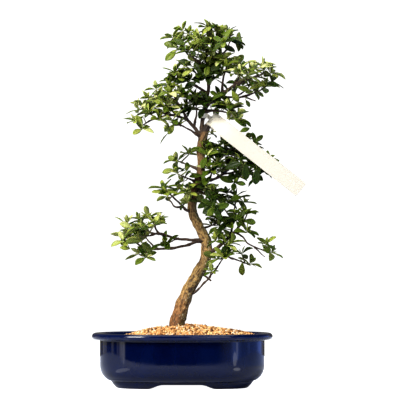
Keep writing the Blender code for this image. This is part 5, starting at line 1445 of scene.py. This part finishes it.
def leaf_material(leaves):
    """A leaf: its age sets its green, with a pale rib, side veins, a paler back and a soft shine."""
    recipe = Recipe("azalea_leaf")
    along, across, _ = recipe.axes(recipe.add("UVMap", {}, uv_map="uv").outputs[0])
    off = recipe.math("ABSOLUTE", recipe.minus(across, 0.5))
    slant = recipe.minus(recipe.times(along, 50.0), recipe.times(off, 34.0))
    veins = recipe.fade(recipe.math("SINE", slant), 0.55, 1.0)
    rib = recipe.fade(off, 0.0, 0.055, 1.0, 0.0)
    blotch = recipe.noise(recipe.places(), 190.0, 3.0)
    age = recipe.plus(recipe.attribute("age"), recipe.times(recipe.minus(blotch, 0.5), 0.35))
    green = leaf_green(recipe, leaves, age)
    paler = recipe.mix(1.0, green, VEIN_GAIN, "MULTIPLY")
    green = recipe.mix(recipe.times(veins, 0.25), green, paler)
    green = recipe.mix(recipe.times(rib, 0.60), green, paler)
    back = recipe.attribute("back")
    back_share = recipe.times(back, recipe.fade(age, 0.5, 1.0, 0.6, 0.25))
    return recipe.finish({
        "Base Color": recipe.mix(back_share, green, tuple(leaves.back)),
        "Roughness": recipe.fade(recipe.plus(back, blotch), 0.3, 1.5, leaves.shine, 0.7),
        "Specular IOR Level": 0.15,
        "Subsurface Weight": 0.12,
        "Subsurface Radius": (0.5, 1.0, 0.2),
        "Subsurface Scale": 0.0015,
        "Normal": recipe.bump(recipe.plus(recipe.times(veins, 0.5), rib), 0.0003, 0.5),
    })


def strip_section():
    """A flat section with round edges: places across it as a share of the half width, and two offsets."""
    turn = np.radians(np.linspace(-90.0, 90.0, 7))
    flat = np.linspace(0.8, -0.8, 9)
    share = np.concatenate([np.ones(7), flat, -np.ones(7), -flat])
    out = np.concatenate([np.cos(turn), 0.0 * flat, -np.cos(turn), 0.0 * flat])
    rise = np.concatenate([np.sin(turn), 0.0 * flat + 1.0, -np.sin(turn), 0.0 * flat - 1.0])
    return share, out, rise


def strip_stations(length):
    """Places along the strip and its half width there: neck, start and far end with round corners."""
    turn = np.radians(np.linspace(0.0, 90.0, 7))
    near = np.column_stack([1.0 - np.cos(turn), LABEL_HALF - 1.0 + np.sin(turn)])
    middle = np.column_stack([np.linspace(3.0, length - 3.0, 40), np.full(40, LABEL_HALF)])
    far = np.column_stack([length - LABEL_CORNER * (1.0 - np.sin(turn)),
                           LABEL_HALF - LABEL_CORNER * (1.0 - np.cos(turn))])
    neck = [(-LABEL_NECK_LENGTH, LABEL_NECK), (-3.0, LABEL_NECK), (-0.3, LABEL_NECK + 0.1),
            (0.0, LABEL_NECK + 0.6)]
    return np.vstack([neck, near, middle, far])


def strip_heap(label):
    """The strip: start + along·s + across·w(s) + out·(bow·4t(1-t) + section), a little wavy."""
    start, length, along, across, out = label_axes()
    stations = strip_stations(length)
    s, half = stations[:, :1], stations[:, 1:]
    share, sideways, rise = strip_section()
    t = np.clip(s / length, 0.0, 1.0)
    place = share * (half - LABEL_HALF_THICKNESS) + sideways * LABEL_HALF_THICKNESS
    bow = label.bow / MM * 4.0 * t * (1.0 - t) + 0.35 * np.sin(7.0 * t) * t
    cup = 0.25 * t * (1.0 - (place / LABEL_HALF) ** 2)
    lift = bow + cup + rise * LABEL_HALF_THICKNESS
    grid = start + s[..., None] * along + place[..., None] * across + lift[..., None] * out
    ends = np.stack([grid[0].mean(axis=0), grid[-1].mean(axis=0)])
    uv = np.stack([t + 0.0 * place, 0.5 + 0.5 * place / LABEL_HALF], axis=-1).reshape(-1, 2)
    quads, triangles = tube_faces(len(s), len(share))
    heap = Heap()
    heap.add(np.vstack([grid.reshape(-1, 3), ends]), quads, triangles,
             uv=np.vstack([uv, [[0.0, 0.5], [1.0, 0.5]]]))
    return heap


def band_heap():
    """The band: centre + (r + d(k))·(cos a, sin a) + h(k), a flat ring with rounded edges."""
    angle = ring_angles(BAND_SIDES)
    turn = ring_angles(BAND_STEPS)
    c, s = np.cos(turn), np.sin(turn)
    depth = LABEL_HALF_THICKNESS * np.sign(c) * np.abs(c) ** 0.6
    height = BAND_HALF_HEIGHT * np.sign(s) * np.abs(s) ** 0.35
    radius = BAND_RADIUS + depth
    grid = np.stack([radius * np.cos(angle)[:, None], radius * np.sin(angle)[:, None],
                     height + 0.0 * angle[:, None]], axis=-1) + np.array(BAND_CENTRE)
    ring, step = np.meshgrid(np.arange(BAND_SIDES), np.arange(BAND_STEPS), indexing="ij")
    row, next_row = ring * BAND_STEPS, (ring + 1) % BAND_SIDES * BAND_STEPS
    after = (step + 1) % BAND_STEPS
    quads = np.stack([row + step, next_row + step, next_row + after, row + after], axis=-1)
    # The band takes the strip's start colour, which is painted lighter against the leaves' shadow
    uv = np.tile([0.0, 0.5], (BAND_SIDES * BAND_STEPS, 1))
    heap = Heap()
    heap.add(grid, quads.reshape(-1, 4), np.zeros((0, 3), int), uv=uv)
    return heap


def strip_material(label):
    """Cream matte plastic with a faint rolled grain, painted lighter near the tree as painted light against
    the leaves' shadow there, and darker beyond its start.
    """
    recipe = Recipe("cream_strip")
    along = recipe.axes(recipe.add("UVMap", {}, uv_map="uv").outputs[0])[0]
    places = recipe.places()
    smear = recipe.noise(recipe.stretch(places, (0.3, 1.0, 1.0)), 30.0, 1.0)
    # Painted light: the strip, and the band with it, is lighter near the tree to cancel the leaves' shadow
    # there
    colour = recipe.mix(recipe.fade(along, 0.0, 0.3), tuple(label.colour), STRIP_BEYOND)
    colour = recipe.mix(recipe.fade(smear, 0.5, 0.75, 0.0, 0.05), colour, STRIP_SMEAR)
    grain = recipe.noise(places, 500.0, 2.0)
    return recipe.finish({
        "Base Color": colour,
        "Roughness": recipe.fade(smear, 0.3, 0.7, 0.46, 0.54),
        "Subsurface Weight": 0.1,
        "Subsurface Radius": (1.0, 0.9, 0.7),
        "Subsurface Scale": 0.001,
        "Normal": recipe.bump(grain, 0.00002, 0.1),
    })


def floor_piece(glow):
    """A pale oval floor, x = a·cos t and y = b·sin t, whose front edge shows in the glaze."""
    recipe = Recipe("pale_floor")
    seen = recipe.add("LightPath", {}).outputs["Is Camera Ray"]
    right = recipe.axes(recipe.places())[0]
    material = recipe.finish({
        "Base Color": recipe.mix(recipe.fade(right, 0.2, 0.8), FLOOR_LEFT, FLOOR_RIGHT),
        "Roughness": 0.9,
        "Emission Color": WHITE,
        "Emission Strength": recipe.times(seen, glow),
    })
    heap = Heap()
    turn = ring_angles(FLOOR_SIDES)
    edge = np.stack([FLOOR_HALF_X * np.cos(turn), FLOOR_MIDDLE + FLOOR_HALF_Y * np.sin(turn),
                     0.0 * turn], axis=-1)
    points = np.vstack([edge, [[0.0, FLOOR_MIDDLE, 0.0]]])
    rim = np.arange(FLOOR_SIDES)
    fan = np.stack([rim, (rim + 1) % FLOOR_SIDES, np.full(FLOOR_SIDES, FLOOR_SIDES)], axis=-1)
    heap.add((points - SHIFT) / MM, np.zeros((0, 4), int), fan)
    floor = bpy.data.objects.new("floor", heap.mesh("floor"))
    floor.data.materials.append(material)
    bpy.context.scene.collection.objects.link(floor)


def area_light(name, place, target, size, power, colour=WHITE, shape="RECTANGLE"):
    """A softbox that the camera doesn't see."""
    data = bpy.data.lights.new(name, "AREA")
    data.shape = shape
    data.size, data.size_y = size
    data.energy = power
    data.color = colour
    light = bpy.data.objects.new(name, data)
    light.location = place
    light.rotation_euler = (Vector(target) - Vector(place)).to_track_quat("-Z", "Y").to_euler()
    light.visible_camera = False
    bpy.context.scene.collection.objects.link(light)
    return light


def card_lights():
    """Low bright ovals round the pot, which show in its glaze."""
    for number, (turn, away, height, width, tall, bright) in enumerate(CARDS):
        turn = math.radians(turn)
        place = (away * math.sin(turn), -away * math.cos(turn) - CARD_AHEAD, height)
        power = bright * math.pi * width * tall
        area_light(f"card_{number}", place, (0.0, -CARD_AHEAD, height), (width, tall), power,
                   shape="ELLIPSE")


def window_bands(nodes, look, side, ahead, height):
    """Soft upright bands of light at both sides, broken up like a window's panes."""
    azimuth = nodes.math("ARCTAN2", side, nodes.times(ahead, -1.0))
    total = 0.0
    for centre, reach, share in WINDOW_BANDS:
        away = nodes.math("ABSOLUTE", nodes.minus(azimuth, math.radians(centre)))
        band = nodes.fade(away, math.radians(reach), 0.4 * math.radians(reach), 0.0, share)
        total = nodes.plus(band, total)
    broken = nodes.fade(nodes.noise(look, 9.0, 2.0, 0.5), 0.35, 0.62, 0.25, 1.0)
    low_down = nodes.fade(height, 0.30, 0.02)
    return nodes.times(total, nodes.times(broken, low_down))


def studio_world(front, back, bands):
    """Dark in front for the glaze to mirror, paler behind, and plain white where nothing stands."""
    world = bpy.data.worlds.new("studio")
    world.use_nodes = True
    nodes = Nodes(world.node_tree)
    look = nodes.add("TexCoord", {}).outputs["Generated"]
    side, ahead, height = nodes.axes(look)
    path = nodes.add("LightPath", {}).outputs
    depth = nodes.fade(ahead, -0.75, 0.7, front, back)
    lit = nodes.times(window_bands(nodes, look, side, ahead, height), bands)
    sky = nodes.times(nodes.fade(side, 0.40, 0.85, 0.0, 1.25), path["Is Glossy Ray"])
    sky = nodes.times(sky, nodes.fade(height, 0.45, 0.20))
    shade = nodes.tree.nodes["Background"]
    nodes.feed(shade.inputs["Strength"], nodes.plus(depth, nodes.plus(lit, sky)))
    nodes.feed(shade.inputs["Color"], nodes.mix(nodes.fade(side, 0.35, 0.8), SKY_LEFT, SKY_RIGHT))
    white = nodes.add("Background", {"Color": WHITE})
    choose = nodes.add("MixShader", {0: path["Is Camera Ray"], 1: shade.outputs[0], 2: white.outputs[0]})
    nodes.feed(nodes.tree.nodes["World Output"].inputs[0], choose.outputs[0])
    bpy.context.scene.world = world


def aim_camera(lens):
    """The camera at the photograph's angle: level with the soil, a little upwards, from the front."""
    data = bpy.data.cameras.new("camera")
    data.lens = lens
    data.sensor_width = 36.0
    data.clip_start = 0.05
    data.clip_end = 20.0
    camera = bpy.data.objects.new("camera", data)
    camera.location = CAMERA_PLACE
    look = Vector(CAMERA_TARGET) - Vector(CAMERA_PLACE)
    camera.rotation_euler = look.to_track_quat("-Z", "Y").to_euler()
    bpy.context.scene.collection.objects.link(camera)
    bpy.context.scene.camera = camera


def colour_setting(name, description, default):
    return FloatVectorProperty(name=name, description=description, default=default, subtype="COLOR",
                               size=3, min=0.0, max=1.0)


class PotSettings(bpy.types.PropertyGroup):
    glaze: colour_setting("Glaze", "Colour of the glaze where it is evenly thick", (0.0002, 0.0042, 0.032))
    deep: colour_setting("Pooled glaze", "Colour of the glaze where it is thick", (0.0001, 0.0018, 0.019))
    # The paler edge colour is partly thin glaze and partly a painted highlight
    thin: colour_setting("Thin glaze", "Colour of the glaze over edges", (0.006, 0.014, 0.070))
    gloss: FloatProperty(name="Roughness", description="Roughness of the glaze", default=0.02,
                         min=0.0, max=1.0, subtype="FACTOR")


class SoilSettings(bpy.types.PropertyGroup):
    pitch: FloatProperty(name="Grain pitch", description="Distance between grains", default=0.0033,
                         min=0.002, max=0.006, unit="LENGTH")
    smallest: FloatProperty(name="Smallest grain", description="Least half width of a grain",
                            default=0.0014, min=0.0005, max=0.003, unit="LENGTH")
    largest: FloatProperty(name="Largest grain", description="Greatest half width of a grain",
                           default=0.0021, min=0.0005, max=0.004, unit="LENGTH")
    colour: colour_setting("Grains", "Usual colour of a grain", (0.73, 0.355, 0.115))


class WoodSettings(bpy.types.PropertyGroup):
    bark: colour_setting("Bark", "Colour of the lower trunk", (0.43, 0.27, 0.088))
    upper: colour_setting("Upper bark", "Colour of the upper trunk", (0.115, 0.055, 0.022))
    # Colour of the green mottle on the side facing right, painted darker there as painted shade
    green_mottle_and_shade: colour_setting("Moss", "Colour of the mottling", (0.13, 0.125, 0.045))
    twig: colour_setting("Twigs", "Colour of the thin branches", (0.085, 0.046, 0.023))
    shoot: colour_setting("Shoots", "Colour of the green shoots", (0.22, 0.26, 0.06))


class LeafSettings(bpy.types.PropertyGroup):
    young: colour_setting("Young leaves", "Colour of new leaves", (0.48, 0.51, 0.22))
    fresh: colour_setting("Fresh leaves", "Colour of this year's leaves", (0.235, 0.28, 0.045))
    mature: colour_setting("Mature leaves", "Colour of full-grown leaves", (0.062, 0.100, 0.008))
    old: colour_setting("Old leaves", "Colour of last year's leaves", (0.012, 0.025, 0.002))
    back: colour_setting("Undersides", "Colour of the leaves' undersides", (0.18, 0.21, 0.055))
    shine: FloatProperty(name="Roughness", description="Roughness of a leaf's upper side", default=0.33,
                         min=0.0, max=1.0, subtype="FACTOR")


class LabelSettings(bpy.types.PropertyGroup):
    # The strip's colour near the tree is painted light, lighter than beyond it to cancel the leaves' shadow
    # there
    colour: colour_setting("Strip", "Colour of the strip near the tree", (0.78, 0.725, 0.60))
    bow: FloatProperty(name="Bow", description="How far the strip bows out", default=0.0016,
                       min=0.0, max=0.004, unit="LENGTH")


class StageSettings(bpy.types.PropertyGroup):
    glow: FloatProperty(name="Floor glow", description="Light that the floor gives off", default=0.9,
                        min=0.0, max=5.0)
    front: FloatProperty(name="Front light", description="Strength of the surroundings in front",
                         default=0.02, min=0.0, max=5.0)
    back: FloatProperty(name="Back light", description="Strength of the surroundings behind",
                        default=0.12, min=0.0, max=5.0)
    bands: FloatProperty(name="Bands", description="Strength of the soft bands at the sides",
                         default=1.6, min=0.0, max=20.0)
    key: FloatProperty(name="Key light", description="Power of the main softbox", default=80.0,
                       min=0.0, max=500.0, unit="POWER")
    lens: FloatProperty(name="Lens", description="Focal length of the camera in millimetres",
                        default=180.0, min=20.0, max=400.0)


class BONSAI_OT_build_pot(bpy.types.Operator):
    """Build the glazed oval pot"""
    bl_idname = "bonsai.build_pot"
    bl_label = "Build the Pot"

    def execute(self, context):
        pot = context.scene.bonsai_pot
        piece = make_piece("glazed_pot", pot_heap(), glaze_material(pot), ("pot",), 40.0)
        cut_drains(piece)
        return {"FINISHED"}


class BONSAI_OT_build_soil(bpy.types.Operator):
    """Build the soil and its loose grains"""
    bl_idname = "bonsai.build_soil"
    bl_label = "Build the Soil"

    def execute(self, context):
        soil = context.scene.bonsai_soil
        make_piece("soil_bed", soil_bed_heap(), fines_and_shade_material(), ("soil",))
        make_piece("soil_grains", grain_heap(soil), grain_material(soil), ())
        return {"FINISHED"}


class BONSAI_OT_build_wood(bpy.types.Operator):
    """Build the trunk and the branches"""
    bl_idname = "bonsai.build_wood"
    bl_label = "Build the Wood"

    def execute(self, context):
        wood = context.scene.bonsai_wood
        trunk_bark = bark_material("trunk_bark", wood, False)
        branch_bark = bark_material("branch_bark", wood, True)
        make_piece("trunk_wood", trunk_heap(), trunk_bark, ("trunk",))
        make_piece("branch_wood", branch_heap(), branch_bark, ("trunk",))
        return {"FINISHED"}


class BONSAI_OT_build_leaves(bpy.types.Operator):
    """Build the leafy shoots"""
    bl_idname = "bonsai.build_leaves"
    bl_label = "Build the Leaves"

    def execute(self, context):
        material = leaf_material(context.scene.bonsai_leaves)
        growths = []
        wood = wood_places()
        for name, (first, last) in LEAF_GROUPS.items():
            growth = Growth()
            for number in range(first - 1, last):
                growth.grow(number)
            for whorl in MORE_WHORLS[name]:
                growth.more(*whorl, wood)
            for leaf in LONE_LEAVES[name]:
                growth.lone(*leaf, wood)
            nodes = [f"spray_{number:02d}" for number in range(first, last + 1)]
            make_piece(name, leaf_heap(growth), material, nodes)
            growths.append(growth)
        shoots = shoot_material(context.scene.bonsai_wood)
        make_piece("green_shoots", shoot_heap(growths), shoots, ())
        return {"FINISHED"}


class BONSAI_OT_build_label(bpy.types.Operator):
    """Build the blank strip and its band"""
    bl_idname = "bonsai.build_label"
    bl_label = "Build the Label"

    def execute(self, context):
        label = context.scene.bonsai_label
        material = strip_material(label)
        make_piece("label_strip", strip_heap(label), material, ("label",), 50.0)
        make_piece("label_band", band_heap(), material, ("label",), 50.0)
        return {"FINISHED"}


class BONSAI_OT_build_stage(bpy.types.Operator):
    """Build the floor, the light and the camera"""
    bl_idname = "bonsai.build_stage"
    bl_label = "Build the Stage"

    def execute(self, context):
        stage = context.scene.bonsai_stage
        floor_piece(stage.glow)
        studio_world(stage.front, stage.back, stage.bands)
        for name, (place, target, size, share, colour, mirrored) in LIGHTS.items():
            light = area_light(name, place, target, size, stage.key * share, colour)
            light.visible_glossy = mirrored
        card_lights()
        aim_camera(stage.lens)
        context.scene.view_settings.view_transform = "Standard"
        context.scene.view_settings.look = "Medium High Contrast"
        context.scene.render.film_transparent = False
        return {"FINISHED"}


class BONSAI_PT_panel(bpy.types.Panel):
    """Lists the builders of the bonsai's pieces"""
    bl_label = "Bonsai"
    bl_idname = "BONSAI_PT_panel"
    bl_space_type = "VIEW_3D"
    bl_region_type = "UI"
    bl_category = "Bonsai"

    def draw(self, context):
        for operator, group in ((BONSAI_OT_build_pot, "bonsai_pot"),
                                (BONSAI_OT_build_soil, "bonsai_soil"),
                                (BONSAI_OT_build_wood, "bonsai_wood"),
                                (BONSAI_OT_build_leaves, "bonsai_leaves"),
                                (BONSAI_OT_build_label, "bonsai_label"),
                                (BONSAI_OT_build_stage, "bonsai_stage")):
            box = self.layout.box()
            box.operator(operator.bl_idname)
            settings = getattr(context.scene, group)
            for name in settings.bl_rna.properties.keys():
                if name not in ("rna_type", "name"):
                    box.prop(settings, name)


SETTINGS = {
    "bonsai_pot": PotSettings,
    "bonsai_soil": SoilSettings,
    "bonsai_wood": WoodSettings,
    "bonsai_leaves": LeafSettings,
    "bonsai_label": LabelSettings,
    "bonsai_stage": StageSettings,
}
CLASSES = (
    *SETTINGS.values(),
    BONSAI_OT_build_pot,
    BONSAI_OT_build_soil,
    BONSAI_OT_build_wood,
    BONSAI_OT_build_leaves,
    BONSAI_OT_build_label,
    BONSAI_OT_build_stage,
    BONSAI_PT_panel,
)


def register():
    for kind in CLASSES:
        bpy.utils.register_class(kind)
    for name, kind in SETTINGS.items():
        setattr(bpy.types.Scene, name, PointerProperty(type=kind))


def unregister():
    for name in SETTINGS:
        delattr(bpy.types.Scene, name)
    for kind in reversed(CLASSES):
        bpy.utils.unregister_class(kind)


def main():
    register()
    bpy.ops.bonsai.build_pot()
    bpy.ops.bonsai.build_soil()
    bpy.ops.bonsai.build_wood()
    bpy.ops.bonsai.build_leaves()
    bpy.ops.bonsai.build_label()
    bpy.ops.bonsai.build_stage()


if __name__ == "__main__":
    main()
